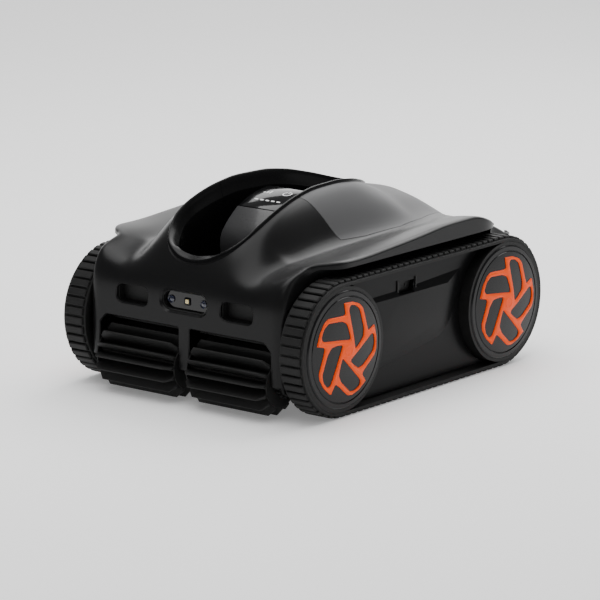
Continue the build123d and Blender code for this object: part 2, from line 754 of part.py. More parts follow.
# ------------------------------------------------------------------ gears and drive motors
brush_angle = math.degrees(math.atan2(brush_z - axle_z, brush_y + axle_y))
axle_pitch = 360 / axle_gear_teeth
into_pitch = ((motor_angle - brush_angle) % axle_pitch) / axle_pitch
pinion_phase = motor_angle + 180 + (into_pitch + 0.5) * 360 / pinion_teeth
brush_gear_phase = brush_angle + 180 + 180 / brush_gear_teeth

for side, hand in ((1, "right"), (-1, "left")):
    gear_plane = side_plane(side, gear_x, gear_x + gear_width)
    with BuildPart() as axle_gear:
        with BuildSketch(gear_plane):
            with Locations((-axle_y, axle_z)):
                gear_teeth(axle_gear_teeth, brush_angle, axle_r)
                with PolarLocations(30, 6):
                    Circle(9, mode=Mode.SUBTRACT)
        extrude(amount=gear_width)
    finish(axle_gear.part, f"axle_gear_{hand}")

    with BuildPart() as motor_pinion:
        with BuildSketch(gear_plane):
            with Locations((motor_y, motor_z)):
                gear_teeth(pinion_teeth, pinion_phase, 0.01)
                Circle(motor_shaft_r)
        extrude(amount=gear_width)
        with BuildSketch(side_plane(side, 122, gear_x)):
            with Locations((motor_y, motor_z)):
                Circle(motor_shaft_r)
        extrude(amount=gear_x - 122)
    finish(motor_pinion.part, f"motor_pinion_{hand}")


motors = [turned(side, motor_y, motor_z, [
    (64, 0), (64, motor_r), (chassis_half - chassis_wall, motor_r),
    (chassis_half - chassis_wall, 6.8), (chassis_half, 6.8),
    (chassis_half, motor_shaft_r + running_fit), (121, motor_shaft_r + running_fit), (121, 0)])
    for side in (1, -1)]
with BuildPart() as drive_motors:
    add(motors)
finish(drive_motors.part, "drive_motors")

# ------------------------------------------------------------------ brushes
sleeve_r = brush_core_r + 3
for side, hand in ((1, "right"), (-1, "left")):
    core = turned(side, brush_y, brush_z, [
        (1, 0), (1, brush_shaft_r), (brush_inner_x - disc_wall, brush_shaft_r),
        (brush_inner_x - disc_wall, disc_r), (brush_inner_x, disc_r),
        (brush_inner_x, brush_core_r), (brush_outer_x, brush_core_r), (brush_outer_x, disc_r),
        (brush_outer_x + disc_wall, disc_r), (brush_outer_x + disc_wall, brush_shaft_r),
        (frame_face_x, brush_shaft_r), (frame_face_x, 0)])
    with BuildPart() as brush_shaft:
        add(core)
        with BuildSketch(side_plane(side, gear_x, gear_x + gear_width)):
            with Locations((brush_y, brush_z)):
                gear_teeth(brush_gear_teeth, brush_gear_phase, brush_shaft_r - 1)
        extrude(amount=gear_width)
    finish(brush_shaft.part, f"brush_shaft_{hand}")

    envelope = turned(side, brush_y, brush_z, [
        (brush_inner_x, 0), (brush_inner_x, brush_r - 9), (brush_inner_x + 9, brush_r),
        (brush_outer_x - 9, brush_r), (brush_outer_x, brush_r - 9), (brush_outer_x, 0)])
    with BuildPart() as brush_sleeve:
        with BuildSketch(side_plane(side, brush_inner_x, brush_outer_x)):
            with Locations((brush_y, brush_z)):
                Circle(sleeve_r)
                with PolarLocations(0, brush_blades, start_angle=177):
                    Polygon((sleeve_r - 1, -blade_thickness), (brush_r - 4, -blade_thickness / 2),
                            (brush_r + 1, -blade_thickness / 2), (brush_r + 1, blade_thickness / 2),
                            (brush_r - 4, blade_thickness / 2), (sleeve_r - 1, blade_thickness),
                            align=None)
                Circle(brush_core_r, mode=Mode.SUBTRACT)
        extrude(amount=brush_outer_x - brush_inner_x)
        add(envelope, mode=Mode.INTERSECT)
    finish(brush_sleeve.part, f"brush_sleeve_{hand}")

# The inner ends of both brush shafts run in one bracket under the front face.
with BuildPart() as brush_bracket:
    with BuildSketch(Plane.YZ.offset(-8)):
        with BuildSketch(mode=Mode.PRIVATE) as blade:
            with Locations((brush_y, brush_z)):
                Circle(12)
            with Locations((chassis_front_y - 4, 90)):
                Circle(4)
            make_hull()
        add(blade.sketch)
        with Locations((brush_y, brush_z)):
            Circle(brush_shaft_r + running_fit, mode=Mode.SUBTRACT)
    extrude(amount=16)
finish(brush_bracket.part, "brush_bracket")

# ------------------------------------------------------------------ front sensors
face_back = body_front_y + shell_wall
with BuildPart() as camera_housing:
    with BuildSketch(Plane.XZ.offset(-face_back - 26)):
        with Locations((0, camera_z)):
            RectangleRounded(camera_width + 8, camera_height + 5, 6)
    extrude(amount=26)
    with BuildSketch(Plane.XZ.offset(-face_back - sensor_depth)):
        with Locations((0, camera_z)):
            SlotOverall(camera_width, camera_height)
    extrude(amount=sensor_depth, mode=Mode.SUBTRACT)
    with BuildSketch(Plane.XZ.offset(-face_back - 24)):
        with Locations((0, camera_z)):
            RectangleRounded(camera_width - 8, camera_height - 5, 4)
    extrude(amount=24, mode=Mode.SUBTRACT)
finish(camera_housing.part, "camera_housing")

pane_y = face_back + sensor_depth
with BuildPart() as camera_window:
    with BuildSketch(Plane.XZ.offset(-pane_y)):
        with Locations((0, camera_z)):
            SlotOverall(camera_width - 0.4, camera_height - 0.4)
    extrude(amount=1.6)
finish(camera_window.part, "camera_window")

with BuildPart() as camera_lenses:
    for x in (-lens_x, lens_x):
        with BuildSketch(Plane.XZ.offset(-pane_y - 14)):
            with Locations((x, camera_z)):
                Circle(5)
        extrude(amount=11)
        with BuildSketch(Plane.XZ.offset(-pane_y - 3)):
            with Locations((x, camera_z)):
                Circle(3.4)
        extrude(amount=2)
finish(camera_lenses.part, "camera_lenses")

with BuildPart() as lamp:
    with BuildSketch(Plane.XZ.offset(-pane_y - 12)):
        with Locations((0, camera_z)):
            Circle(7)
    extrude(amount=4)
    with BuildSketch(Plane.XZ.offset(-pane_y - 8)):
        with Locations((0, camera_z)):
            RectangleRounded(7, 7, 1.5)
    extrude(amount=5)
finish(lamp.part, "lamp")

with BuildPart() as slot_inserts:
    with BuildSketch(Plane.XZ.offset(-face_back - 12)):
        with Locations((-slot_x, slot_z), (slot_x, slot_z)):
            RectangleRounded(slot_width - 1, slot_height + 4, 6)
    extrude(amount=12)
    with BuildSketch(Plane.XZ.offset(-face_back - 10)):
        with Locations((-slot_x, slot_z), (slot_x, slot_z)):
            RectangleRounded(slot_width - 4, slot_height, 5.5)
    extrude(amount=10, mode=Mode.SUBTRACT)
finish(slot_inserts.part, "slot_inserts")

# ------------------------------------------------------------------ filter, pump and power
with BuildPart() as filter_basket:
    with BuildSketch(Plane.XY.offset(basket_z[0])):
        with Locations((0, sum(basket_y) / 2)):
            RectangleRounded(2 * basket_half, basket_y[1] - basket_y[0], 14)
    extrude(amount=basket_z[1] - basket_z[0])
    with BuildSketch(Plane.XY.offset(basket_z[0] + 2)):
        with Locations((0, sum(basket_y) / 2)):
            RectangleRounded(2 * basket_half - 4, basket_y[1] - basket_y[0] - 4, 12)
    extrude(amount=basket_z[1] - basket_z[0], mode=Mode.SUBTRACT)
    add(slab((-intake_half + 4, intake_half - 4), (intake_y[0] + 4, intake_y[1] - 4),
             (100, 110)), mode=Mode.SUBTRACT)
    # windows for the fine mesh
    with BuildSketch(Plane.XZ.offset(-basket_y[1] - 5)):
        with GridLocations(42, 1, 4, 1):
            with Locations((0, 142)):
                Rectangle(34, 50)
    extrude(amount=20, mode=Mode.SUBTRACT)
finish(filter_basket.part, "filter_basket")

flap_y = intake_y[0] + 8.0
flap_z = basket_z[0] + 5.5
with BuildPart() as intake_flap:
    with BuildSketch(Plane.YZ.offset(-intake_half + 6)):
        with Locations((flap_y, flap_z)):
            Circle(2)
        Polygon((flap_y, flap_z - 2), (intake_y[1] + 2, flap_z - 2), (intake_y[1] + 2, flap_z - 0.4),
                (flap_y, flap_z - 0.4), align=None)
    extrude(amount=2 * intake_half - 12)
finish(intake_flap.part, "intake_flap")

with BuildPart() as pump_housing:
    with BuildSketch(Plane.XY.offset(pump_floor)):
        with Locations((0, pump_y)):
            Circle(34)
        with Locations((0, (pump_y + body_rear_y - 5) / 2)):
            Rectangle(60, body_rear_y - 5 - pump_y)
    extrude(amount=41)
    with BuildSketch(Plane.XY.offset(103)):
        with Locations((0, pump_y)):
            Circle(31.5)
        with Locations((0, (pump_y + body_rear_y) / 2)):
            Rectangle(55, body_rear_y - pump_y + 1)
    extrude(amount=36, mode=Mode.SUBTRACT)
    with BuildSketch(Plane.XY.offset(100)):
        with Locations((0, pump_y)):
            Circle(4)
    extrude(amount=5, mode=Mode.SUBTRACT)
    with BuildSketch(Plane.XY.offset(138)):
        with Locations((0, pump_y)):
            Circle(18)
    extrude(amount=6, mode=Mode.SUBTRACT)
finish(pump_housing.part, "pump_housing")

with BuildPart() as pump_motor:
    with BuildSketch(Plane.XY.offset(pump_bottom)):
        with Locations((0, pump_y)):
            Circle(21)
    extrude(amount=pump_floor - pump_bottom)
    with BuildSketch(Plane.XY.offset(80)):
        with Locations((0, pump_y)):
            Circle(2 + running_fit)
    extrude(amount=30, mode=Mode.SUBTRACT)
finish(pump_motor.part, "pump_motor")

with BuildPart() as impeller:
    with BuildSketch(Plane.XY.offset(82)):
        with Locations((0, pump_y)):
            Circle(2)
    extrude(amount=30)
    with BuildSketch(Plane.XY.offset(108)):
        with Locations((0, pump_y)):
            Circle(6)
            with PolarLocations(0, 5):
                Polygon((4, -1), (16, 3), (26, 11), (25, 13), (15, 5.5), (4, 2), align=None)
    extrude(amount=20)
    with BuildSketch(Plane.XY.offset(106)):
        with Locations((0, pump_y)):
            Circle(28)
    extrude(amount=2)
finish(impeller.part, "impeller")

with BuildPart() as outlet_grille:
    with BuildSketch(Plane.XZ.offset(-body_rear_y + 1)):
        with Locations((0, outlet_z)):
            RectangleRounded(outlet_width - 0.4, outlet_height - 0.4, 5.8)
            with GridLocations(11, 1, 7, 1):
                Rectangle(7, 22, mode=Mode.SUBTRACT)
    extrude(amount=-3)
finish(outlet_grille.part, "outlet_grille")

floor_z = chassis_bottom + chassis_wall
with BuildPart() as battery_pack:
    add(slab((-70, 70), (-26, 62), (floor_z, floor_z + 50)))
    fillet(battery_pack.edges().filter_by(Axis.Z), 5)
finish(battery_pack.part, "battery_pack")

with BuildPart() as control_box:
    add(slab((-85, 85), (66, 146), (floor_z, floor_z + 44)))
    fillet(control_box.edges().filter_by(Axis.Z), 4)
    add(slab((-82, 82), (69, 143), (floor_z + 3, floor_z + 50)), mode=Mode.SUBTRACT)
finish(control_box.part, "control_box")

with BuildPart() as control_box_lid:
    add(slab((-87, 87), (64, 148), (floor_z + 44, floor_z + 47)))
finish(control_box_lid.part, "control_box_lid")

with BuildPart() as control_board:
    add(slab((-74, 74), (73, 139), (floor_z + 8, floor_z + 9.6)))
    for x, y, half_x, half_y, height in ((-40, 104, 18, 14, 7), (20, 96, 10, 10, 3), (50, 122, 12, 9, 12)):
        add(slab((x - half_x, x + half_x), (y - half_y, y + half_y),
                 (floor_z + 9.6, floor_z + 9.6 + height)))
    for x in (-68, 68):
        add(slab((x - 3, x + 3), (77, 83), (floor_z + 3, floor_z + 8)))
        add(slab((x - 3, x + 3), (130, 136), (floor_z + 3, floor_z + 8)))
finish(control_board.part, "control_board")

with BuildPart() as charging_socket:
    add(slab((166, 176), (-44, -4), (130.5, 150.5)))
    with BuildSketch(Plane.YZ.offset(176)):
        with Locations(*contact_places):
            Circle(2.2)
    extrude(amount=0.8)
    add(slab((176, 183.5), (-44, -42), (130.5, 150.5)))
    add(slab((176, 183.5), (-6, -4), (130.5, 150.5)))
finish(charging_socket.part, "charging_socket")
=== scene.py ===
import json
import math

import bmesh
import bpy
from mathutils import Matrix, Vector


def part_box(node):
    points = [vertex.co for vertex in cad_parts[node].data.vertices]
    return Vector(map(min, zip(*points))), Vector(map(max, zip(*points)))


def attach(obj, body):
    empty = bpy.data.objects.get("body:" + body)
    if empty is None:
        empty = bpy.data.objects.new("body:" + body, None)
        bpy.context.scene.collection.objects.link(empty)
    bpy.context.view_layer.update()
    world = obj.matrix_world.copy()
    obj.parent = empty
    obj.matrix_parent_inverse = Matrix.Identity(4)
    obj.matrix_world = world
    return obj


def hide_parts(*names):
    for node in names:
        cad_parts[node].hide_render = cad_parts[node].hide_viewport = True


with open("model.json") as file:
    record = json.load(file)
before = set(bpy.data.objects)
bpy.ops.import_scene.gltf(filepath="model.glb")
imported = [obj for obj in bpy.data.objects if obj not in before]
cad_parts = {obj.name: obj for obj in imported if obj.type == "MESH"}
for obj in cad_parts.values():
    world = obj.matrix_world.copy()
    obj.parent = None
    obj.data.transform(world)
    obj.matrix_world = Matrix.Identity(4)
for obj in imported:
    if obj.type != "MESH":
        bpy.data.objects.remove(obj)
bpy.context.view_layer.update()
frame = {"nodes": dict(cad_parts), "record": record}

bl_info = {
    "name": "Tracked Pool Cleaner",
    "version": (1, 0, 0),
    "blender": (4, 5, 0),
    "location": "3D View > Sidebar > Pool Cleaner",
    "description": "Finishes and detailed pieces of a cordless tracked pool cleaner",
    "category": "Object",
}

MM = 0.001
SIDES = ((1, "right"), (-1, "left"))
ENDS = ((-1, "front"), (1, "rear"))


# ---------------------------------------------------------------- sizes read from the frame
def node_size(node):
    """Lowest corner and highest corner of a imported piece, in millimetres."""
    low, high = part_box(node)
    return [c / MM for c in low], [c / MM for c in high]


def wheel_centre(end):
    """Y and Z of a wheel's axle, in millimetres."""
    where = dict((number, name) for number, name in ENDS)[end]
    low, high = node_size(f"pulley_{where}_right")
    return (low[1] + high[1]) / 2, (low[2] + high[2]) / 2


AXLE_Y = wheel_centre(1)[0]
AXLE_Z = wheel_centre(1)[1]
COVER_R = (node_size("wheel_cover_rear_right")[1][2] - node_size("wheel_cover_rear_right")[0][2]) / 2


# ---------------------------------------------------------------- shader expressions
class Value:
    """A shader socket that can be used in an arithmetic expression."""

    def __init__(self, tree, socket):
        self.tree = tree
        self.socket = socket

    def _math(self, operation, *others):
        node = self.tree.nodes.new("ShaderNodeMath")
        node.operation = operation
        for slot, value in zip(node.inputs, (self, *others)):
            if isinstance(value, Value):
                self.tree.links.new(value.socket, slot)
            else:
                slot.default_value = value
        return Value(self.tree, node.outputs[0])

    def _swapped(self, operation, other):
        node = self.tree.nodes.new("ShaderNodeMath")
        node.operation = operation
        node.inputs[0].default_value = other
        self.tree.links.new(self.socket, node.inputs[1])
        return Value(self.tree, node.outputs[0])

    def __add__(self, other):
        return self._math("ADD", other)

    __radd__ = __add__

    def __sub__(self, other):
        return self._math("SUBTRACT", other)

    def __rsub__(self, other):
        return self._swapped("SUBTRACT", other)

    def __mul__(self, other):
        return self._math("MULTIPLY", other)

    __rmul__ = __mul__


class Finish:
    """One node material, built up by expressions."""

    def __init__(self, name, **constants):
        self.material = bpy.data.materials.new(name)
        self.material.use_nodes = True
        self.tree = self.material.node_tree
        self.shader = self.tree.nodes["Principled BSDF"]
        for socket, value in constants.items():
            self.shader.inputs[socket.replace("_", " ")].default_value = value
        self.place = self.node("ShaderNodeTexCoord", output="Object")

    def node(self, kind, settings=None, output=0, **inputs):
        """One node of a kind; its settings first, then the values or links of its sockets."""
        node = self.tree.nodes.new(kind)
        for key, value in (settings or {}).items():
            setattr(node, key, value)
        for key, value in inputs.items():
            socket = node.inputs[int(key[1:])] if key[0] == "i" and key[1:].isdigit() else (
                node.inputs[key.replace("_", " ")])
            if isinstance(value, Value):
                self.tree.links.new(value.socket, socket)
            else:
                socket.default_value = value
        return Value(self.tree, node.outputs[output])

    def noise(self, scale, detail=2.0, roughness=0.5):
        """Plain noise over the piece, 0 to 1."""
        return self.node("ShaderNodeTexNoise", output="Fac", Vector=self.place, Scale=scale,
                         Detail=detail, Roughness=roughness)

    def mix(self, amount, first, second):
        """A colour between two colours."""
        return self.node("ShaderNodeMix", {"data_type": "RGBA"}, output="Result",
                         i0=amount, i6=first, i7=second)

    def feed(self, socket, value):
        """Link a varying value to one of the shader's sockets."""
        self.tree.links.new(value.socket, self.shader.inputs[socket])

    def bump(self, height, strength, distance):
        """A bump from a height, fed to the shader's normal."""
        self.feed("Normal", self.node("ShaderNodeBump", output="Normal", Strength=strength,
                                      Distance=distance, Height=height))


def moulded(name, dark, light, roughness, grain=900.0, grain_depth=0.00002, coat=0.0, shine=0.25):
    """Moulded plastic: a faint grain, and a slow drift of tone and gloss."""
    finish = Finish(name, Coat_Weight=coat, Coat_Roughness=0.08, Specular_IOR_Level=shine)
    drift = finish.noise(9.0, 2.0)
    finish.feed("Base Color", finish.mix(drift, (*dark, 1), (*light, 1)))
    speckle = finish.noise(grain, 2.0)
    finish.feed("Roughness", roughness + (drift - 0.5) * 0.06 + (speckle - 0.5) * 0.05)
    finish.bump(speckle, 0.35, grain_depth)
    return finish.material


def rubber(name, tone, worn):
    """Dull rubber with fine pores and paler wear."""
    finish = Finish(name, Specular_IOR_Level=0.18)
    pores = finish.noise(1400.0, 3.0)
    wear = finish.noise(60.0, 4.0, 0.6)
    finish.feed("Base Color", finish.mix(wear, (*tone, 1), (*worn, 1)))
    finish.feed("Roughness", 0.52 + wear * 0.16)
    finish.bump(pores, 0.5, 0.00006)
    return finish.material


def brushed(name, tone, roughness):
    """Turned or drawn metal."""
    finish = Finish(name, Metallic=1.0)
    streaks = finish.noise(500.0, 2.0)
    finish.feed("Base Color", finish.mix(streaks, (*[0.85 * c for c in tone], 1), (*tone, 1)))
    finish.feed("Roughness", roughness + streaks * 0.12)
    finish.bump(streaks, 0.2, 0.00002)
    return finish.material


def make_finishes(colours):
    """Every finish of the machine, by name."""
    return {
        "hood": moulded("satin_black_hood", colours.hood_dark, colours.hood_light, 0.30,
                        shine=0.17),
        # canopy: the same satin black as the hood; its much lighter tone is painted light from the lamp
        # overhead
        "canopy": moulded("satin_charcoal_canopy", colours.canopy_dark, colours.canopy_painted_light_lighter, 0.42,
                          shine=0.14),
        "gloss": moulded("gloss_black", (0.002, 0.002, 0.0022), (0.003, 0.003, 0.0033), 0.26,
                         grain_depth=0.000004, shine=0.12),
        "cover": moulded("gloss_wheel_cover", (0.006, 0.006, 0.0065), (0.009, 0.009, 0.0095), 0.2,
                         grain_depth=0.000006, coat=0.12, shine=0.14),
        "panel": moulded("satin_side_panel", (0.004, 0.004, 0.0043), (0.006, 0.006, 0.0063), 0.30,
                         shine=0.09),
        "matte": moulded("matte_black_moulding", (0.006, 0.006, 0.006), (0.010, 0.010, 0.010), 0.55,
                         grain_depth=0.00005),
        "orange": moulded("satin_orange", colours.star_dark, colours.star_light, 0.36,
                          grain_depth=0.00001, shine=0.12),
        "track": rubber("track_rubber", colours.track, colours.track_worn),
        "brush": rubber("brush_rubber", colours.brush, colours.brush_worn),
        "steel": brushed("turned_steel", (0.62, 0.62, 0.63), 0.28),
        "can": brushed("plated_motor_can", (0.50, 0.50, 0.51), 0.35),
        "acetal": moulded("natural_acetal", (0.62, 0.60, 0.54), (0.68, 0.66, 0.60), 0.42),
        "gear": moulded("black_acetal", (0.010, 0.010, 0.010), (0.014, 0.014, 0.014), 0.42),
        "nylon": moulded("filled_nylon", (0.05, 0.05, 0.055), (0.07, 0.07, 0.075), 0.5),
        "basket": moulded("basket_grey", (0.035, 0.035, 0.037), (0.05, 0.05, 0.052), 0.5),
        "wrap": moulded("battery_wrap", (0.01, 0.05, 0.20), (0.014, 0.07, 0.26), 0.35),
        "board": moulded("circuit_board", (0.01, 0.10, 0.04), (0.014, 0.14, 0.055), 0.4),
        "glass": moulded("smoked_window", (0.002, 0.002, 0.0024), (0.003, 0.003, 0.0034), 0.10,
                         grain_depth=0.000001, coat=0.3),
        "lens": moulded("coated_lens", (0.004, 0.006, 0.02), (0.006, 0.01, 0.035), 0.05,
                        grain_depth=0.000001, coat=1.0),
        "lamp": moulded("lamp_emitter", (0.75, 0.62, 0.30), (0.85, 0.72, 0.40), 0.3),
        "handle": moulded("satin_handle", (0.032, 0.032, 0.033), (0.040, 0.040, 0.041), 0.28, coat=0.2),
        "marks": moulded("display_mark", (0.70, 0.70, 0.70), (0.78, 0.78, 0.78), 0.5),
    }


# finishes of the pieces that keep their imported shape; the others are matte black
NODE_FINISH = {
    "frame_screws": "steel", "canopy_hinge_pin": "steel", "wheel_axle": "steel",
    "drive_motors": "can", "pump_motor": "can", "impeller": "acetal", "axle_gear": "gear",
    "motor_pinion": "gear", "axle_bushes": "nylon", "filter_basket": "basket",
    "battery_pack": "wrap", "control_board": "board",
}
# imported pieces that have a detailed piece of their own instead
REPLACED = {
    "top_shell", "canopy", "opening_ring", "handle_base", "handle_bridge", "display_panel",
    "camera_window", "camera_lenses", "lamp", "track", "wheel_cover", "wheel_star",
    "brush_sleeve", "side_panel",
}
FINISHES = {}


def kind_of_node(node):
    """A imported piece's name without its hand and its end."""
    return "_".join(word for word in node.split("_") if word not in ("left", "right", "front", "rear"))


def finishes_of(scene):
    """The finishes in the scene's colours, made the first time they are asked for."""
    if not FINISHES:
        FINISHES.update(make_finishes(scene.poolcleaner_colours))
    return FINISHES


# ---------------------------------------------------------------- mesh helpers
def soften(bm, sharp_degrees=32.0):
    """Smooth faces, with the edges sharper than an angle kept crisp."""
    limit = math.radians(sharp_degrees)
    for face in bm.faces:
        face.smooth = True
    for edge in bm.edges:
        edge.smooth = edge.calc_face_angle(0.0) < limit


def body_of_node(node):
    """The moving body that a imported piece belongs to."""
    for body, members in frame["record"]["behaviour"]["bodies"].items():
        if node in members:
            return body
    raise ValueError(f"no body holds {node}")


def slot_of_node(node):
    """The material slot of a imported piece."""
    return next(part["material_slot"] for part in frame["record"]["subparts"]
                if part["node"] == node)


def add_piece(name, bm, material, node, sharp_degrees=32.0):
    """Make an object of a mesh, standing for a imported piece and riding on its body."""
    soften(bm, sharp_degrees)
    mesh = bpy.data.meshes.new(name)
    bm.to_mesh(mesh)
    bm.free()
    mesh.materials.append(material)
    piece = bpy.data.objects.new(name, mesh)
    bpy.context.scene.collection.objects.link(piece)
    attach(piece, body_of_node(node))
    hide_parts(node)
    slot_of_node(node)
    return piece


def packed_copy(node):
    """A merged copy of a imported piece's mesh, ready for smooth shading."""
    bm = bmesh.new()
    bm.from_mesh(frame["nodes"][node].data)
    bmesh.ops.remove_doubles(bm, verts=bm.verts, dist=0.00001)
    return bm


# ---------------------------------------------------------------- outlines and lofts
def through(points, at):
    """The height of a smooth curve through (place, height) points, with no overshoot."""
    if at <= points[0][0]:
        return points[0][1]
    if at >= points[-1][0]:
        return points[-1][1]
    spans = [b[0] - a[0] for a, b in zip(points, points[1:])]
    slopes = [(b[1] - a[1]) / span for a, b, span in zip(points, points[1:], spans)]
    tangents = [slopes[0]]
    for before, after in zip(slopes, slopes[1:]):
        tangents.append(0.0 if before * after <= 0 else 2 * before * after / (before + after))
    tangents.append(slopes[-1])
    here = max(i for i in range(len(spans)) if points[i][0] <= at)
    t = (at - points[here][0]) / spans[here]
    rise = points[here + 1][1] - points[here][1]
    start = tangents[here] * spans[here]
    end = tangents[here + 1] * spans[here]
    bend = start * t * (1 - t) ** 2 - end * (1 - t) * t ** 2
    return points[here][1] + rise * (3 - 2 * t) * t ** 2 + bend


def eased(values, passes):
    """A run of vectors with its kinks eased out; both ends stay."""
    values = list(values)
    for _ in range(passes):
        middle = [(a + 2 * b + c) / 4 for a, b, c in zip(values, values[1:], values[2:])]
        values = [values[0], *middle, values[-1]]
    return values


def rounded(points, radius, steps=4):
    """A closed outline with its corners rounded."""
    out = []
    count = len(points)
    for i in range(count):
        before, here, after = (Vector(points[(i + k) % count]) for k in (-1, 0, 1))
        into, onward = before - here, after - here
        reach = min(radius, 0.45 * into.length, 0.45 * onward.length)
        start = here + into.normalized() * reach
        end = here + onward.normalized() * reach
        for step in range(steps + 1):
            t = step / steps
            out.append(start * (1 - t) ** 2 + here * 2 * t * (1 - t) + end * t ** 2)
    return out


def inward(points, distance):
    """A closed anticlockwise outline moved inwards by a distance."""
    count = len(points)
    out = []
    for i in range(count):
        before, here, after = (Vector(points[(i + k) % count]) for k in (-1, 0, 1))
        first = (here - before).normalized()
        second = (after - here).normalized()
        normal = Vector((-first.y - second.y, first.x + second.x))
        length = normal.length
        normal.normalize()
        out.append(here + normal * distance / max(0.5, length / 2))
    return out


def anticlockwise(points):
    """The outline, turned round if it runs clockwise."""
    area = sum(a[0] * b[1] - b[0] * a[1] for a, b in zip(points, points[1:] + points[:1]))
    return list(points) if area > 0 else list(reversed(points))


def loft(bm, rings, closed=False, capped=True):
    """Faces between rings of points in millimetres; closed joins the last ring to the first."""
    layers = [[bm.verts.new(Vector(point) * MM) for point in ring] for ring in rings]
    count = len(layers[0])
    pairs = list(zip(layers, layers[1:]))
    if closed:
        pairs.append((layers[-1], layers[0]))
    for lower, upper in pairs:
        for i in range(count):
            k = (i + 1) % count
            bm.faces.new((lower[i], lower[k], upper[k], upper[i]))
    if capped and not closed:
        bm.faces.new(list(reversed(layers[0])))
        bm.faces.new(layers[-1])
    return layers


def settle(bm):
    """Join stray doubles and turn every face outwards."""
    bmesh.ops.remove_doubles(bm, verts=bm.verts, dist=0.000002)
    bmesh.ops.dissolve_degenerate(bm, edges=bm.edges, dist=0.0000005)
    bmesh.ops.recalc_face_normals(bm, faces=bm.faces)
    return bm


def prism(outline, levels, place):
    """A closed block over an outline; levels are (height, inset), place gives (x, y, z)."""
    bm = bmesh.new()
    outline = anticlockwise([tuple(p) for p in outline])
    loft(bm, [[place(p[0], p[1], height) for p in inward(outline, inset)] for height, inset in levels])
    return settle(bm)


def across(u, v, height):
    """An outline seen from the side, at a place across the machine."""
    return (height, u, v)


def along(u, v, height):
    """An outline seen from the front, at a place along the machine."""
    return (u, height, v)


def above(u, v, height):
    """An outline seen from above, at a height."""
    return (u, v, height)


def lathe(profile, side, y, z, steps=96):
    """A ring or disc turned about an axis across the machine, from (x, radius) points."""
    bm = bmesh.new()
    rings = []
    for step in range(steps):
        turn = 2 * math.pi * step / steps
        rings.append([(side * x, y + radius * math.cos(turn), z + radius * math.sin(turn))
                      for x, radius in profile])
    loft(bm, rings, closed=True)
    return settle(bm)


def bevelled(bm, width, segments=2, sharp_degrees=30.0):
    """Round off the edges sharper than an angle."""
    limit = math.radians(sharp_degrees)
    edges = [edge for edge in bm.edges if edge.calc_face_angle(0.0) > limit]
    bmesh.ops.bevel(bm, geom=edges, offset=width * MM, offset_type="OFFSET", segments=segments,
                    profile=0.5, affect="EDGES", clamp_overlap=True, material=-1)
    return bm


def merged(*parts):
    """Several meshes in one."""
    bm = bmesh.new()
    for part in parts:
        mesh = bpy.data.meshes.new("part")
        part.to_mesh(mesh)
        part.free()
        bm.from_mesh(mesh)
        bpy.data.meshes.remove(mesh)
    return bm


def temporary(bm):
    """A scratch object of a mesh."""
    mesh = bpy.data.meshes.new("scratch")
    bm.to_mesh(mesh)
    piece = bpy.data.objects.new("scratch", mesh)
    bpy.context.scene.collection.objects.link(piece)
    return piece


def worked(bm, kind, settings, tool=None):
    """The mesh after one modifier, with a second mesh as its tool if it needs one."""
    piece = temporary(bm)
    modifier = piece.modifiers.new("work", kind)
    for key, value in settings.items():
        setattr(modifier, key, value)
    scratch = [piece]
    if tool is not None:
        cutter = temporary(tool)
        modifier.object = cutter
        scratch.append(cutter)
    mesh = bpy.data.meshes.new_from_object(
        piece.evaluated_get(bpy.context.evaluated_depsgraph_get()))
    out = bmesh.new()
    out.from_mesh(mesh)
    bpy.data.meshes.remove(mesh)
    for item in scratch:
        data = item.data
        bpy.data.objects.remove(item)
        bpy.data.meshes.remove(data)
    return out


def carved(bm, tool, operation="DIFFERENCE"):
    """The mesh with another one cut away, or kept only where both are."""
    return worked(bm, "BOOLEAN", {"operation": operation, "solver": "EXACT"}, tool)


# ---------------------------------------------------------------- the hood
RIM_HALF_WIDTH = ((-234, 2), (-233.4, 12), (-230, 30), (-220, 50), (-200, 63), (-180, 69), (-150, 70.5),
                  (-100, 68), (-20, 62), (20, 57), (60, 44), (86, 31), (104, 16), (110, 2))
RIM_HEIGHT = ((-250, 166), (-234, 180), (-220, 198), (-200, 212.5), (-180, 227), (-140, 244),
              (-100, 254.5), (-60, 259.5), (-20, 259.5), (20, 255.5), (60, 246.5), (100, 234.5),
              (174, 217.5), (218, 195.5), (256, 174))
VALLEY_HALF_WIDTH = ((-250, 104), (-100, 116), (60, 114), (180, 82), (256, 62))
VALLEY_HEIGHT = ((-250, 160), (-230, 170), (-180, 184), (-100, 191), (0, 193), (120, 194),
                 (180, 189.5), (218, 178), (256, 160))
CREASE_HEIGHT = ((-250, 170), (-235, 182), (-181, 197.5), (-131, 196.5), (-59, 200.5), (11, 206),
                 (58, 210.5), (115, 211), (146, 203), (178, 189), (256, 150))
FLANK_FULLNESS = ((-250, 0.62), (0, 0.62), (110, 0.72), (256, 0.74))
FASCIA = ((0, -248), (147, -248), (166, -241), (180, -235), (198, -226), (300, -204))
EDGE_HALF_WIDTH = ((-182, 159), (-179, 177), (-172, 186.5), (-158, 189), (140, 189), (160, 185.5),
                   (172, 180), (178, 172), (181, 159), (228, 159), (243, 152), (255, 135))
FENDER_HALF = 189.0
FACE_BOTTOM = 45.5
FENDER_BOTTOM = 187.0
REAR_Y = 255.0
REAR_BOTTOM = 100.0
LIP = 4.0
COLUMNS = 44
LIP_COLUMNS = 4
SIDE_COLUMNS = 5
INNER_COLUMNS = 3
FACE_ROWS = 30
FRONT_ROWS = 16
STEP_ROWS = (-180.5, -179, -176.5, -173, -168, -163, -158)
TAIL_ROWS = (176, 177.5, 179, 180, 181)


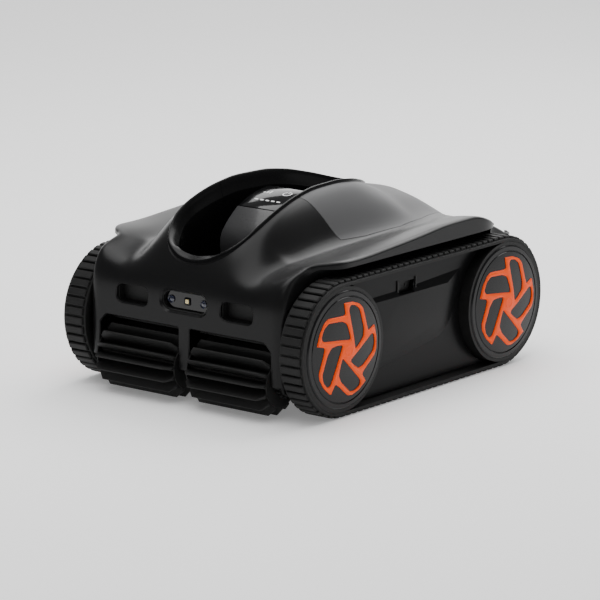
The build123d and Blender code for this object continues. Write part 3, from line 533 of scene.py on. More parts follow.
def hood_height(x, y):
    """Height of the upper surface."""
    rim_x = through(RIM_HALF_WIDTH, y)
    rim_z = through(RIM_HEIGHT, y)
    valley_x = through(VALLEY_HALF_WIDTH, y)
    valley_z = through(VALLEY_HEIGHT, y)
    crease_z = through(CREASE_HEIGHT, y)
    points = [(0, rim_z + 2), (rim_x, rim_z),
              (rim_x + 0.45 * (valley_x - rim_x), valley_z + through(FLANK_FULLNESS, y) * (rim_z - valley_z)),
              (valley_x, valley_z),
              (valley_x + 0.6 * (FENDER_HALF - valley_x), crease_z - 0.35 * (crease_z - valley_z) + 1),
              (FENDER_HALF, crease_z)]
    if rim_x < 12:
        points.pop(1)
    return through(points, abs(x))


def corner_setback(x):
    """How far the rounded corner of the front face stands back."""
    over = min(max(x - 149.0, 0.0), 10.0)
    return 10.0 - math.sqrt(100.0 - over ** 2)


def face_crest(x):
    """Where the front face meets the hood: (y, z)."""
    low, high = -250.0, -190.0
    for _ in range(24):
        y = (low + high) / 2
        if y < through(FASCIA, hood_height(x, y)) + corner_setback(x):
            low = y
        else:
            high = y
    return low, hood_height(x, low)


def hood_rows():
    """The rows behind the fenders' front ends, as places along the machine."""
    rows = [-182.0, *STEP_ROWS]
    while rows[-1] < 172:
        rows.append(rows[-1] + 4.0)
    rows[-1] = 174.0
    rows += TAIL_ROWS
    while rows[-1] < REAR_Y - 4:
        rows.append(rows[-1] + 3.7)
    return rows[:-1] + [REAR_Y]


def hood_sheet():
    """The whole upper skin as one sheet: front face, hood, fenders and rear wall."""
    span = COLUMNS + LIP_COLUMNS
    rows = hood_rows()
    columns = []
    for j in range(span + 1):
        turn = math.pi / 2 * max(0, j - COLUMNS) / LIP_COLUMNS
        drop = LIP * (1 - math.cos(turn))

        def column_x(edge):
            return (edge - LIP) * min(j, COLUMNS) / COLUMNS + LIP * math.sin(turn)
        x = column_x(through(EDGE_HALF_WIDTH, -200))
        crest_y, crest_z = face_crest(x)
        crest_z -= drop
        column = []
        for i in range(FACE_ROWS):
            z = FACE_BOTTOM + (crest_z - FACE_BOTTOM) * i / FACE_ROWS
            column.append(Vector((x, through(FASCIA, z) + corner_setback(x), z)))
        for i in range(FRONT_ROWS):
            y = crest_y + (rows[0] - crest_y) * i / FRONT_ROWS
            column.append(Vector((x, y, hood_height(x, y) - drop)))
        for y in rows:
            x = column_x(through(EDGE_HALF_WIDTH, y))
            column.append(Vector((x, y, hood_height(x, y) - drop)))
        top = column[-1]
        side_span = SIDE_COLUMNS + INNER_COLUMNS
        for i in range(1, side_span + 1):
            column.append(Vector((top.x, REAR_Y, top.z - (top.z - REAR_BOTTOM) * i / side_span)))
        columns.append(eased(column, 14))
    for _ in range(5):
        padded = [[Vector((-p.x, p.y, p.z)) for p in columns[1]]] + columns
        for j in range(span):
            columns[j] = [(a + 2 * b + c) / 4 for a, b, c in zip(padded[j], padded[j + 1], padded[j + 2])]
    bm = bmesh.new()
    grid = [[bm.verts.new(point * MM) for point in column] for column in columns]
    for left, right in zip(grid, grid[1:]):
        for i in range(len(left) - 1):
            bm.faces.new((left[i], right[i], right[i + 1], left[i + 1]))
    add_hood_sides(bm, grid[-1], len(rows))
    bmesh.ops.remove_doubles(bm, verts=bm.verts, dist=0.00001)
    bmesh.ops.mirror(bm, geom=bm.verts[:] + bm.edges[:] + bm.faces[:], axis="X", merge_dist=0.00002)
    bmesh.ops.remove_doubles(bm, verts=bm.verts, dist=0.00001)
    bmesh.ops.dissolve_degenerate(bm, edges=bm.edges, dist=0.000005)
    bmesh.ops.recalc_face_normals(bm, faces=bm.faces)
    if sum(face.normal.z * face.calc_area() for face in bm.faces) < 0:
        bmesh.ops.reverse_faces(bm, faces=bm.faces)
    return bm


def add_hood_sides(bm, edge, row_count):
    """Side walls below the hood's edge, with the undersides of the fenders."""
    first = FACE_ROWS
    last = first + FRONT_ROWS + row_count - 1
    side_span = SIDE_COLUMNS + INNER_COLUMNS
    spacing = (edge[first].co.z / MM - FACE_BOTTOM) / FACE_ROWS
    walls = [[edge[first]] + [edge[first - k] for k in range(1, side_span + 1)]]
    walls[0][SIDE_COLUMNS + 1:SIDE_COLUMNS + 1] = [walls[0][SIDE_COLUMNS]] * 2
    for i in range(first + 1, last):
        x, y, z = edge[i].co / MM
        inner = min(x, 159.0)
        share = min(1.0, (i - first) / FRONT_ROWS)
        behind = y > 180.5
        lowest = 165.0 if behind else FENDER_BOTTOM
        depths = [(z - lowest) * k / SIDE_COLUMNS for k in range(1, SIDE_COLUMNS + 1)]
        end = REAR_BOTTOM if behind else FENDER_BOTTOM - 20.0
        depths += [z - lowest + (lowest - end) * k / INNER_COLUMNS for k in range(1, INNER_COLUMNS + 1)]
        depths = [spacing * (k + 1) * (1 - share) + depth * share for k, depth in enumerate(depths)]
        wall = [edge[i]]
        for k, depth in enumerate(depths):
            if k == SIDE_COLUMNS:
                floor = z - depths[k - 1]
                for part in (0.5, 1.0):
                    wall.append(bm.verts.new(Vector((x + (inner - x) * part, y, floor)) * MM))
            wall.append(bm.verts.new(Vector((x if k < SIDE_COLUMNS else inner, y, z - depth)) * MM))
        walls.append(wall)
    final = [edge[last]] + [edge[last + k] for k in range(1, side_span + 1)]
    final[SIDE_COLUMNS + 1:SIDE_COLUMNS + 1] = [final[SIDE_COLUMNS]] * 2
    walls.append(final)
    for near, far in zip(walls, walls[1:]):
        for k in range(len(near) - 1):
            corners = []
            for vert in (near[k], near[k + 1], far[k + 1], far[k]):
                if vert not in corners:
                    corners.append(vert)
            if len(corners) > 2:
                bm.faces.new(corners)


def rim_loop(per_span=6):
    """The opening's rim in plan: points from the front round the right side to the rear and back."""
    half = [(0, RIM_HALF_WIDTH[0][0])] + [(x, y) for y, x in RIM_HALF_WIDTH[1:-1]]
    half.append((0, RIM_HALF_WIDTH[-1][0]))
    points = [Vector(p) for p in half + [(-x, y) for x, y in reversed(half[1:-1])]]
    count = len(points)
    out = []
    for i in range(count):
        a, b, c, d = (points[(i + k) % count] for k in (-1, 0, 1, 2))
        for step in range(per_span):
            t = step / per_span
            leave = (c - a) * (c - b).length / ((b - a).length + (c - b).length)
            arrive = (d - b) * (c - b).length / ((c - b).length + (d - c).length)
            out.append(b * (1 + 2 * t) * (1 - t) ** 2 + leave * t * (1 - t) ** 2
                       + c * t * t * (3 - 2 * t) - arrive * t * t * (1 - t))
    for _ in range(3):
        out = [(out[i - 1] + 2 * out[i] + out[(i + 1) % len(out)]) / 4 for i in range(len(out))]
    return out


CANOPY_HALF = ((68, -98), (110, -67), (112.5, -20), (110, 60), (98, 120), (78, 180), (60, 262))


def canopy_outline(growth):
    """The canopy in plan."""
    half = [(x + growth, y - (growth if y < -60 else 0)) for x, y in CANOPY_HALF]
    return half + [(-x, y) for x, y in reversed(half)]


def stadium(width, height, steps=10):
    """Closed outline of a slot with round ends, about its centre."""
    radius = height / 2
    out = []
    for side, start in ((1, -90), (-1, 90)):
        for step in range(steps + 1):
            turn = math.radians(start + 180 * step / steps)
            out.append((side * (width / 2 - radius) + radius * math.cos(turn), radius * math.sin(turn)))
    return out


def shifted(points, u, v):
    """An outline moved."""
    return [(p[0] + u, p[1] + v) for p in points]


def box_outline(width, height):
    """A plain rectangle about its centre."""
    return [(-width / 2, -height / 2), (width / 2, -height / 2), (width / 2, height / 2),
            (-width / 2, height / 2)]


SLOT_X, SLOT_Z = 86.0, 131.5
CAMERA_Z = 133.0
FACE_Y = -248.0
SKIN_THICKNESS = 3.0
BRUSH_WINDOW = [(9, 20), (9, 100), (130, 100), (141, 89), (141, 20)]
WINDOW_LEVELS = [(FACE_Y - 3, -4.2), (FACE_Y, -1.2), (FACE_Y + 1.2, 0), (FACE_Y + 14, 0)]
SLOT_LEVELS = [(FACE_Y - 4, -5.5), (FACE_Y, -1.6), (FACE_Y + 1.4, 0), (FACE_Y + 12, 0)]
EYE_LEVELS = [(FACE_Y - 5, -8), (FACE_Y, -4.5), (FACE_Y + 5, 0), (FACE_Y + 14, 0)]
HINGE_BRACKET = [(252, 118), (252, 148), (256.5, 151), (258, 160), (258.5, 166), (261.5, 168.8),
                 (264.5, 168.8), (267.3, 166.5), (268, 163), (268, 152)]
HINGE_KNUCKLE = [(251, 158), (258, 159.5), (261, 159.2), (265, 159.4), (267.8, 162.5),
                 (267.8, 165.5), (265, 168.6), (261, 168.8), (251, 168.8)]


def add_hood(finishes):
    """Upper shell and canopy, cut from one skin."""
    skin = worked(hood_sheet(), "SOLIDIFY", {"thickness": SKIN_THICKNESS * MM, "offset": -1.0})
    opening = inward(rim_loop(), 0.5)
    skin = carved(skin, prism(opening, [(100, 0), (300, 0)], above))
    inside = prism(canopy_outline(0.0), [(140, 0), (300, 0)], above)
    outside = prism(canopy_outline(0.7), [(139, 0), (300, 0)], above)
    canopy = carved(skin, inside, "INTERSECT")
    shell = carved(skin, outside)
    for side in (1, -1):
        window = rounded([(side * u, v) for u, v in BRUSH_WINDOW], 2.0)
        shell = carved(shell, prism(window, WINDOW_LEVELS, along))
        slot = rounded(box_outline(52, 24), 10.0, 6)
        shell = carved(shell, prism(shifted(slot, side * SLOT_X, SLOT_Z), SLOT_LEVELS, along))
    eye = shifted(stadium(72, 23, 12), 0, CAMERA_Z)
    shell = carved(shell, prism(eye, EYE_LEVELS, along))
    outlet = shifted(rounded(box_outline(90, 30), 6.0), 0, 125)
    shell = carved(shell, prism(outlet, [(REAR_Y - 12, 0), (REAR_Y + 5, 0)], along))
    brackets = [shell]
    for side in (1, -1):
        near, far = sorted((15 * side, 30 * side))
        brackets.append(bevelled(prism(HINGE_BRACKET, [(near, 0), (far, 0)], across), 0.8))
    add_piece("hood_shell", merged(*brackets), finishes["hood"], "top_shell", 30)
    knuckle = bevelled(prism(HINGE_KNUCKLE, [(-14, 0), (14, 0)], across), 0.8)
    add_piece("canopy_cover", merged(canopy, knuckle), finishes["canopy"], "canopy", 30)


RING_WIDTH = ((-234, 18), (-190, 13), (-150, 9), (110, 9))
RING_FLOOR = ((-234, 160), (-99, 160), (-97, 182), (26, 182), (96, 216), (110, 222))
RING_CREST = ((0.2, -9), (0.2, 1.5), (0.6, 2.5), (1.5, 3.0), (2.6, 2.8), (3.4, 2.1))


def add_opening_rings(finishes):
    """The raised, bevelled rim of the opening, split where the canopy starts."""
    loop = rim_loop()
    count = len(loop)
    places = []
    for i in range(count):
        here, onward = loop[i], loop[(i + 1) % count]
        run = (onward - loop[i - 1]).normalized()
        places.append((here, Vector((-run.y, run.x))))
        for split in (-98.0, -97.4):
            if (here.y - split) * (onward.y - split) < 0:
                share = (split - here.y) / (onward.y - here.y)
                places.append((here.lerp(onward, share), Vector((-run.y, run.x))))
    sections = []
    for here, inner in places:
        width = through(RING_WIDTH, here.y)
        floor = through(RING_FLOOR, here.y)
        section = []
        for inset, lift in (*RING_CREST, (0.62 * width, -5.5), (width - 1.4, -14.6),
                            (width - 0.3, -16.4), (width, -18)):
            point = here + inner * inset
            section.append((point.x, point.y, through(RIM_HEIGHT, point.y) + lift))
        for inset, lift in ((width, None), (width - 2.2, None), (width - 2.2, -19), (0.5 * width, -9.5)):
            point = here + inner * inset
            crest = through(RIM_HEIGHT, point.y)
            section.append((point.x, point.y, min(floor, crest - 20) if lift is None else crest + lift))
        sections.append((here, section))
    split = max(i for i, (here, _) in enumerate(sections) if here.x > 0 and here.y < -97.9)
    order = sections[split + 1:] + sections[:split + 1]
    rear = [section for here, section in order if here.y > -97.5]
    head = [section for here, section in order if here.y < -97.9]
    for name, node, run in (("rim_front", "opening_ring_front", head),
                            ("rim_rear", "opening_ring_rear", rear)):
        bm = bmesh.new()
        loft(bm, run)
        add_piece(name, settle(bm), finishes["gloss"], node, 40)


# ---------------------------------------------------------------- handle and display
ISLAND_FRONT = ((-130, 161), (-133, 172), (-134.3, 182), (-133.8, 192), (-130, 201.5), (-124, 208.5),
                (-116, 216), (-107, 223.3), (-98, 230))
BRIDGE_TOP = ((-97.4, 229), (-85, 234.2), (-73.5, 238.5), (-62, 241.5), (-50, 243.5), (-36, 245.3))
HANDLE_HALF = 35


def add_handle(finishes):
    """The arched handle in the opening, in two halves, with its display."""
    handle_levels = [(-HANDLE_HALF, 0), (HANDLE_HALF, 0)]
    base = prism([*ISLAND_FRONT, (-98, 161)], handle_levels, across)
    add_piece("handle_front", bevelled(base, 1.2, 3, 40), finishes["handle"], "handle_base", 40)
    bridge = prism([*BRIDGE_TOP, (-30, 241), (-30, 184), (-97.4, 184)], handle_levels, across)
    add_piece("handle_top", bevelled(bridge, 1.0, 3, 40), finishes["handle"], "handle_bridge", 40)
    top = [(y, z + 1.5) for y, z in BRIDGE_TOP]
    panel = prism([*top, *reversed(BRIDGE_TOP)], [(1 - HANDLE_HALF, 0), (HANDLE_HALF - 1, 0)], across)
    add_piece("display_glass", bevelled(panel, 0.5, 2, 40), finishes["glass"], "display_panel", 40)
    marks = []

    def stroke(outline):
        placed = []
        for lift in (1.4, 1.62):
            placed.append([(u, v, through(BRIDGE_TOP, v) + lift) for u, v in anticlockwise(outline)])
        bm = bmesh.new()
        loft(bm, placed)
        marks.append(settle(bm))

    for step, height in enumerate((3.0, 5.5, 8.0)):
        stroke(shifted(box_outline(2.4, height), -20 + 4.2 * step, -62 + height / 2))
    arc = [math.radians(90 + 35 + 290 * k / 24) for k in range(25)]
    for a, b in zip(arc, arc[1:]):
        corners = ((5, a), (6.6, a), (6.6, b), (5, b))
        stroke([(14 + r * math.cos(t), -56 + r * math.sin(t)) for r, t in corners])
    stroke(shifted(box_outline(1.6, 6), 14, -51))
    for step in range(5):
        stroke(shifted(stadium(6, 2.2, 5), -18 + 9 * step, -80))
    add_piece("display_marks", merged(*marks), finishes["marks"], "display_panel", 40)


# ---------------------------------------------------------------- tracks and wheels
BELT_OUTER = 84.0
BELT_INNER = 80.0
LUG_TIP = 87.5
WHEELBASE = 2 * AXLE_Y


def along_track(distance, radius):
    """A point of a belt line, from the top of the front wheel rearwards: (y, z)."""
    arc = math.pi * BELT_OUTER
    distance %= 2 * WHEELBASE + 2 * arc
    if distance < WHEELBASE:
        return -AXLE_Y + distance, AXLE_Z + radius
    distance -= WHEELBASE
    if distance < arc:
        turn = distance / BELT_OUTER
        return AXLE_Y + radius * math.sin(turn), AXLE_Z + radius * math.cos(turn)
    distance -= arc
    if distance < WHEELBASE:
        return AXLE_Y - distance, AXLE_Z - radius
    turn = math.pi + (distance - WHEELBASE) / BELT_OUTER
    return -AXLE_Y + radius * math.sin(turn), AXLE_Z + radius * math.cos(turn)


def add_tracks(finishes, lugs):
    """Rubber belts with bevelled cross lugs."""
    pitch = (2 * WHEELBASE + 2 * math.pi * BELT_OUTER) / lugs
    profile = ((160, BELT_INNER), (160, 83.4), (160.6, BELT_OUTER), (196.2, BELT_OUTER), (197, 83.2),
               (197, BELT_INNER))
    for side, hand in SIDES:
        bm = bmesh.new()
        rings = []
        for step in range(4 * lugs):
            rings.append([(side * x, *along_track(step * pitch / 4, r)) for x, r in profile])
        loft(bm, rings, closed=True)
        for lug in range(lugs):
            start = lug * pitch - pitch / 2 + 1.5
            end = start + pitch - 3.0
            middle = (start + end) / 2
            rings = []
            for x, cut in ((163, 1.2), (164.2, 0), (192.8, 0), (194, 1.2)):
                tip = LUG_TIP - cut
                outline = [(start - 0.2, 83.5), (start, tip - 1.1), (start + 1.0, tip), (middle, tip),
                           (end - 1.0, tip), (end, tip - 1.1), (end + 0.2, 83.5)]
                rings.append([(side * x, *along_track(d, r)) for d, r in outline])
            loft(bm, rings)
        add_piece(f"belt_{hand}", settle(bm), finishes["track"], f"track_{hand}", 25)


DOME = 5.0
DOME_R = (COVER_R ** 2 + DOME ** 2) / (2 * DOME)
EDGE_X = 198.0


def dome_x(radius, lift):
    """Distance across the machine of the wheel cover's face at a radius."""
    return EDGE_X + DOME - (DOME_R - math.sqrt(DOME_R ** 2 - radius ** 2)) + lift


STAR_TIP = ((-5.5, 61.6), (13.0, 60.6), (27.0, 55.6), (33.4, 49.4), (36.6, 39.2), (39.3, 29.0))
STAR_NOTCH = (43.0, 18.4)
STAR_WINDOW = ((4.4, 51.0), (7.6, 55.0), (18.0, 53.2), (25.6, 47.3), (32.2, 23.0), (31.2, 13.0),
               (22.5, 5.6), (14.6, 0.6), (11.2, 18.7))


STAR_ARMS = 5
STAR_EDGE = ((1.1, -0.3), (1.25, 0.6), (1.6, 1.3), (2.2, 1.85), (2.9, 2.12))


def turned_by(point, degrees):
    """A point turned clockwise about the wheel's centre."""
    a = math.radians(degrees)
    u, v = point
    return u * math.cos(a) + v * math.sin(a), v * math.cos(a) - u * math.sin(a)


def add_wheels(finishes):
    """Domed covers with a stepped rim, and the rounded star on each."""
    star_loops = []
    outline = []
    for arm in range(STAR_ARMS):
        outline += [turned_by(p, 360 / STAR_ARMS * arm) for p in (*STAR_TIP, STAR_NOTCH)]
    star_loops.append((rounded(anticlockwise(outline), 2.6, 4), 1))
    for arm in range(STAR_ARMS):
        hole = anticlockwise([turned_by(p, 360 / STAR_ARMS * arm) for p in STAR_WINDOW])
        star_loops.append((rounded(hole, 2.6, 4), -1))
    for end, where in ENDS:
        for side, hand in SIDES:
            y = end * AXLE_Y
            dome = [(dome_x(r, 0), r) for r in (66.5, 60, 50, 40, 30, 20, 10, 0.01)]
            profile = [(193.5, 72.5), (193.5, 75), (197.4, 75), (198.1, 74.3), (198.7, 73.4),
                       (dome_x(68.6, 0.15), 68.6), (dome_x(68.2, -0.9), 68.1), (dome_x(67.4, -0.9), 67.4)]
            back = [(x - 2.5, r) for x, r in reversed(dome[1:])]
            cover = lathe([*profile, *dome, *back, (196, 71)], side, y, AXLE_Z, 128)
            add_piece(f"cover_{where}_{hand}", cover, finishes["cover"],
                      f"wheel_cover_{where}_{hand}", 25)
            bm = bmesh.new()
            tops = []
            for loop, sign in star_loops:
                rings = []
                for inset, lift in STAR_EDGE:
                    ring = inward(loop, sign * inset)
                    rings.append([(side * dome_x(min(66, math.hypot(*p)), lift), y + p[0], AXLE_Z + p[1])
                                  for p in ring])
                tops.append(loft(bm, rings, capped=False)[-1])
            edges = []
            for top in tops:
                edges += [bm.edges.get((top[i - 1], top[i])) for i in range(len(top))]
            bmesh.ops.triangle_fill(bm, use_beauty=True, use_dissolve=False, edges=edges)
            bmesh.ops.recalc_face_normals(bm, faces=bm.faces)
            if sum(side * f.normal.x * f.calc_area() for f in bm.faces) < 0:
                bmesh.ops.reverse_faces(bm, faces=bm.faces)
            hub = lathe([(dome_x(0, 1.6), 8.0), (dome_x(0, 2.0), 7.6), (dome_x(0, 2.18), 6.8),
                         (dome_x(0, 2.18), 5.6), (dome_x(0, 1.6), 5.0), (dome_x(0, 1.55), 0.01),
                         (dome_x(0, 0.5), 0.01), (dome_x(0, 0.5), 8.0)], side, y, AXLE_Z, 48)
            add_piece(f"star_{where}_{hand}", merged(bm, hub), finishes["orange"],
                      f"wheel_star_{where}_{hand}", 50)


# ---------------------------------------------------------------- brushes
BRUSH_Y = -225.0
BRUSH_Z = 45.5
SLEEVE_R = 22
BLADE_SHOULDER = 34
BLADE_TIP = 42.6
BLADE_START = 177


def add_brushes(finishes, blades):
    """Rubber sleeves with thick flexible blades."""
    low, high = node_size("brush_sleeve_right")
    inner_x, outer_x = low[0], high[0]
    for side, hand in SIDES:
        parts = [lathe([(inner_x, SLEEVE_R - 3), (inner_x, SLEEVE_R), (outer_x, SLEEVE_R),
                        (outer_x, SLEEVE_R - 3)], side, BRUSH_Y, BRUSH_Z, 60)]
        for blade in range(blades):
            turn = math.radians(BLADE_START + 360 / blades * blade)
            outline = [(inner_x, SLEEVE_R - 1), (inner_x, BLADE_SHOULDER), (inner_x + 8, BLADE_TIP),
                       (outer_x - 8, BLADE_TIP), (outer_x, BLADE_SHOULDER), (outer_x, SLEEVE_R - 1)]
            rings = []
            for share in (-1, 1):
                ring = []
                for x, r in outline:
                    half = share * (3.4 if r < SLEEVE_R else 0.8 + 2.4 * (BLADE_TIP - r) / 21)
                    ring.append((side * x, BRUSH_Y + r * math.cos(turn) - half * math.sin(turn),
                                 BRUSH_Z + r * math.sin(turn) + half * math.cos(turn)))
                rings.append(ring)
            flap = bmesh.new()
            loft(flap, rings)
            parts.append(bevelled(settle(flap), 0.3, 2, 40))
        add_piece(f"sleeve_{hand}", merged(*parts), finishes["brush"], f"brush_sleeve_{hand}", 30)


# ---------------------------------------------------------------- side panels
def wheel_arc(end, radius, start, finish, steps):
    """Points round an axle, between two angles in degrees."""
    out = []
    for step in range(steps + 1):
        turn = math.radians(start + (finish - start) * step / steps)
        out.append((end * AXLE_Y + radius * math.cos(turn), AXLE_Z + radius * math.sin(turn)))
    return out


WHEEL_GAP_R = 81.5
FIELD_TOP = ((-103, 131.2), (-40, 131.2), (60, 131.2), (57, 120.5), (50, 99.5), (40, 85.5),
             (30, 78.5), (20, 75.5), (0, 71.5), (-40, 62.5), (-80, 56), (-92, 54))
FIELD_FOOT = ((-103, 137.6), (-40, 138.4), (93, 145), (93, 132.5), (88, 112.5), (80, 92.5),
              (70, 77.5), (60, 68), (50, 62.5), (0, 54.5), (-50, 47.5), (-92, 42))
PORT_OUTLINE = ((-33, 147.5), (-7, 147.5), (-12, 133.5), (-41, 133.5))
PORT_LEVELS = [(174, 0), (183, 0), (184.6, -1.2), (190, -3)]


def add_side_panels(finishes):
    """Panels inside the tracks, with a raised field and its broad bevels."""
    for side, hand in SIDES:
        top = math.degrees(math.asin(78 / WHEEL_GAP_R))
        outline = wheel_arc(-1, WHEEL_GAP_R, top, -top, 40) + wheel_arc(1, WHEEL_GAP_R, 180 + top,
                                                                        180 - top, 40)
        body = prism(outline, [(side * 160.0, 0), (side * 181.4, 0), (side * 182.0, 0.6)], across)
        field = bmesh.new()
        loft(field, [[(side * x, *p) for p in outline]
                     for x, outline in ((180.0, FIELD_FOOT), (181.8, FIELD_FOOT), (186.0, FIELD_TOP))])
        wheel = lathe([(150, 0.01), (150, WHEEL_GAP_R), (200, WHEEL_GAP_R), (200, 0.01)], side,
                      -AXLE_Y, AXLE_Z, 96)
        field = carved(settle(field), wheel)
        parts = [body, field]
        if side == 1:
            port = rounded(PORT_OUTLINE, 1.5)
            parts = [carved(part, prism(port, PORT_LEVELS, across)) for part in parts]
        add_piece(f"panel_{hand}", merged(*parts), finishes["panel"], f"side_panel_{hand}", 20)


# ---------------------------------------------------------------- front sensors
LENS_SECTION = ((5.2, -239.0), (5.2, -240.6), (4.5, -241.0), (3.9, -240.6), (3.7, -239.9),
                (2.6, -240.5), (0.01, -240.8))


def add_sensors(finishes):
    """The dark window over the cameras, its lamp and its lenses."""
    pane = shifted(stadium(71.6, 22.6, 12), 0, CAMERA_Z)
    add_piece("sensor_pane", prism(pane, [(-239.2, 0.6), (-239.6 + 1.6, 0)], along), finishes["glass"],
              "camera_window", 25)
    rings = []
    for x in (-26.5, 26.5):
        bm = bmesh.new()
        circle = [2 * math.pi * step / 32 for step in range(32)]
        loft(bm, [[(x + r * math.cos(t), y, CAMERA_Z + r * math.sin(t)) for t in circle]
                  for r, y in LENS_SECTION])
        rings.append(settle(bm))
    add_piece("sensor_lenses", merged(*rings), finishes["lens"], "camera_lenses", 35)
    frame_plate = prism(shifted(rounded(box_outline(10, 10), 2.5), 0, CAMERA_Z),
                        [(-239.0, 0), (-240.2, 0), (-240.5, 0.6)], along)
    glow = prism(shifted(rounded(box_outline(5.5, 5.5), 1.2), 0, CAMERA_Z),
                 [(-240.3, 0), (-240.8, 0.2), (-241.0, 0.8)], along)
    add_piece("lamp_frame", frame_plate, finishes["gloss"], "lamp", 30)
    add_piece("lamp_face", glow, finishes["lamp"], "lamp", 30)


# ---------------------------------------------------------------- the stage
def add_stage(settings):
    """Pale floor, soft boxes and the camera."""
    finish = Finish("pale_floor", Roughness=0.9, Emission_Color=(1, 1, 1, 1), Emission_Strength=0.2)
    finish.feed("Base Color", finish.mix(finish.noise(3.0), (0.90, 0.90, 0.90, 1), (0.93, 0.93, 0.93, 1)))
    bm = bmesh.new()
    bmesh.ops.create_grid(bm, x_segments=2, y_segments=2, size=settings.floor_size / 2)
    mesh = bpy.data.meshes.new("floor")
    bm.to_mesh(mesh)
    bm.free()
    mesh.materials.append(finish.material)
    floor = bpy.data.objects.new("floor", mesh)
    bpy.context.scene.collection.objects.link(floor)

    world = bpy.data.worlds.new("studio")
    world.use_nodes = True
    world.node_tree.nodes["Background"].inputs["Color"].default_value = (1, 1, 1, 1)
    world.node_tree.nodes["Background"].inputs["Strength"].default_value = settings.ambient
    bpy.context.scene.world = world
    for name, place, size, power in (
            ("key_light", (0.6, -1.5, 1.9), (1.2, 1.2), settings.key_power),
            ("top_light", (-0.3, -0.1, 2.6), (2.6, 2.6), settings.top_power),
            ("rear_top_light", (0.0, 2.0, 2.4), (2.6, 1.6), settings.rear_top_power),
            ("back_light", (-3.3, 4.1, 1.9), (7.0, 3.4), settings.back_power),
            ("side_light", (2.4, 0.6, 1.0), (1.4, 1.0), settings.side_power)):
        lamp = bpy.data.lights.new(name, "AREA")
        lamp.shape = "RECTANGLE"
        lamp.size, lamp.size_y = size
        lamp.energy = power
        light = bpy.data.objects.new(name, lamp)
        light.location = place
        light.rotation_euler = (Vector((0, 0, 0.12)) - Vector(place)).to_track_quat("-Z", "Y").to_euler()
        bpy.context.scene.collection.objects.link(light)

    azimuth = settings.camera_azimuth
    elevation = settings.camera_elevation
    toward = Vector((math.sin(azimuth) * math.cos(elevation),
                     -math.cos(azimuth) * math.cos(elevation), math.sin(elevation)))
    data = bpy.data.cameras.new("camera")
    data.lens = settings.camera_lens
    data.sensor_width = 36.0
    camera = bpy.data.objects.new("camera", data)
    target = Vector((-6.84, -4.13, AXLE_Z + 4.5)) * MM
    camera.location = target + toward * settings.camera_distance
    camera.rotation_euler = (-toward).to_track_quat("-Z", "Y").to_euler()
    bpy.context.scene.collection.objects.link(camera)
    bpy.context.scene.camera = camera


# ---------------------------------------------------------------- add-on classes
def colour(name, description, default):
    """A colour property."""
    return bpy.props.FloatVectorProperty(name=name, description=description, default=default,
                                         subtype="COLOR", size=3, min=0.0, max=1.0)


def power(name, description, default):
    """A lamp's power property."""
    return bpy.props.FloatProperty(name=name, description=description, default=default, unit="POWER")


class ColourSettings(bpy.types.PropertyGroup):
    """Colours of the outer pieces; each finish drifts between two tones."""

    hood_dark: colour("Hood", "Darker tone of the upper shell", (0.0050, 0.0050, 0.0053))
    hood_light: colour("Hood, lighter", "Lighter tone of the upper shell", (0.0068, 0.0068, 0.0071))
    # the canopy's two tones are painted light: the hood's satin black lightened where the top light falls on
    # it
    canopy_dark: colour("Canopy", "Darker tone of the canopy", (0.082, 0.082, 0.084))
    canopy_painted_light_lighter: colour("Canopy, lighter", "Lighter tone of the canopy", (0.094, 0.094, 0.096))
    star_dark: colour("Stars", "Darker tone of the wheels' stars", (0.97, 0.078, 0.003))
    star_light: colour("Stars, lighter", "Lighter tone of the wheels' stars", (1.0, 0.092, 0.005))
    track: colour("Tracks", "Rubber of the tracks", (0.010, 0.010, 0.010))
    track_worn: colour("Tracks, worn", "Worn rubber of the tracks", (0.018, 0.018, 0.018))
    brush: colour("Brushes", "Rubber of the brushes", (0.012, 0.012, 0.012))
    brush_worn: colour("Brushes, worn", "Worn rubber of the brushes", (0.022, 0.022, 0.022))


class PieceSettings(bpy.types.PropertyGroup):
    """Numbers of repeated shapes."""

    track_lugs: bpy.props.IntProperty(
        name="Track lugs", description="Cross lugs round each track", default=100, min=20)
    brush_blades: bpy.props.IntProperty(
        name="Brush blades", description="Blades round each brush", default=15, min=3)


class StageSettings(bpy.types.PropertyGroup):
    """Camera, lights and floor."""

    floor_size: bpy.props.FloatProperty(
        name="Floor size", description="Side of the square floor", default=14.0,
        subtype="DISTANCE", unit="LENGTH")
    ambient: bpy.props.FloatProperty(
        name="Ambient", description="Strength of the light from all round", default=0.22)
    key_power: power("Key light", "Power of the front soft box", 8.0)
    top_power: power("Top light", "Power of the soft box overhead", 80.0)
    back_power: power("Back light", "Power of the wide soft box behind", 150.0)
    rear_top_power: power("Rear top light", "Power of the soft box above the rear", 70.0)
    side_power: power("Side light", "Power of the soft box on the right", 4.5)
    camera_azimuth: bpy.props.FloatProperty(
        name="Azimuth", description="Turn of the camera round the machine",
        default=math.radians(38.61), subtype="ANGLE", unit="ROTATION")
    camera_elevation: bpy.props.FloatProperty(
        name="Elevation", description="Height of the camera above the horizon",
        default=math.radians(12.87), subtype="ANGLE", unit="ROTATION")
    camera_distance: bpy.props.FloatProperty(
        name="Distance", description="From the camera to the middle of the machine",
        default=4.821, subtype="DISTANCE", unit="LENGTH")
    camera_lens: bpy.props.FloatProperty(
        name="Lens", description="Focal length on a 36 mm sensor", default=220.6, unit="CAMERA")


class POOLCLEANER_OT_stage(bpy.types.Operator):
    """Add the floor, the soft boxes and the camera"""

    bl_idname = "poolcleaner.stage"
    bl_label = "Stage"

    def execute(self, context):
        add_stage(context.scene.poolcleaner_stage)
        return {"FINISHED"}


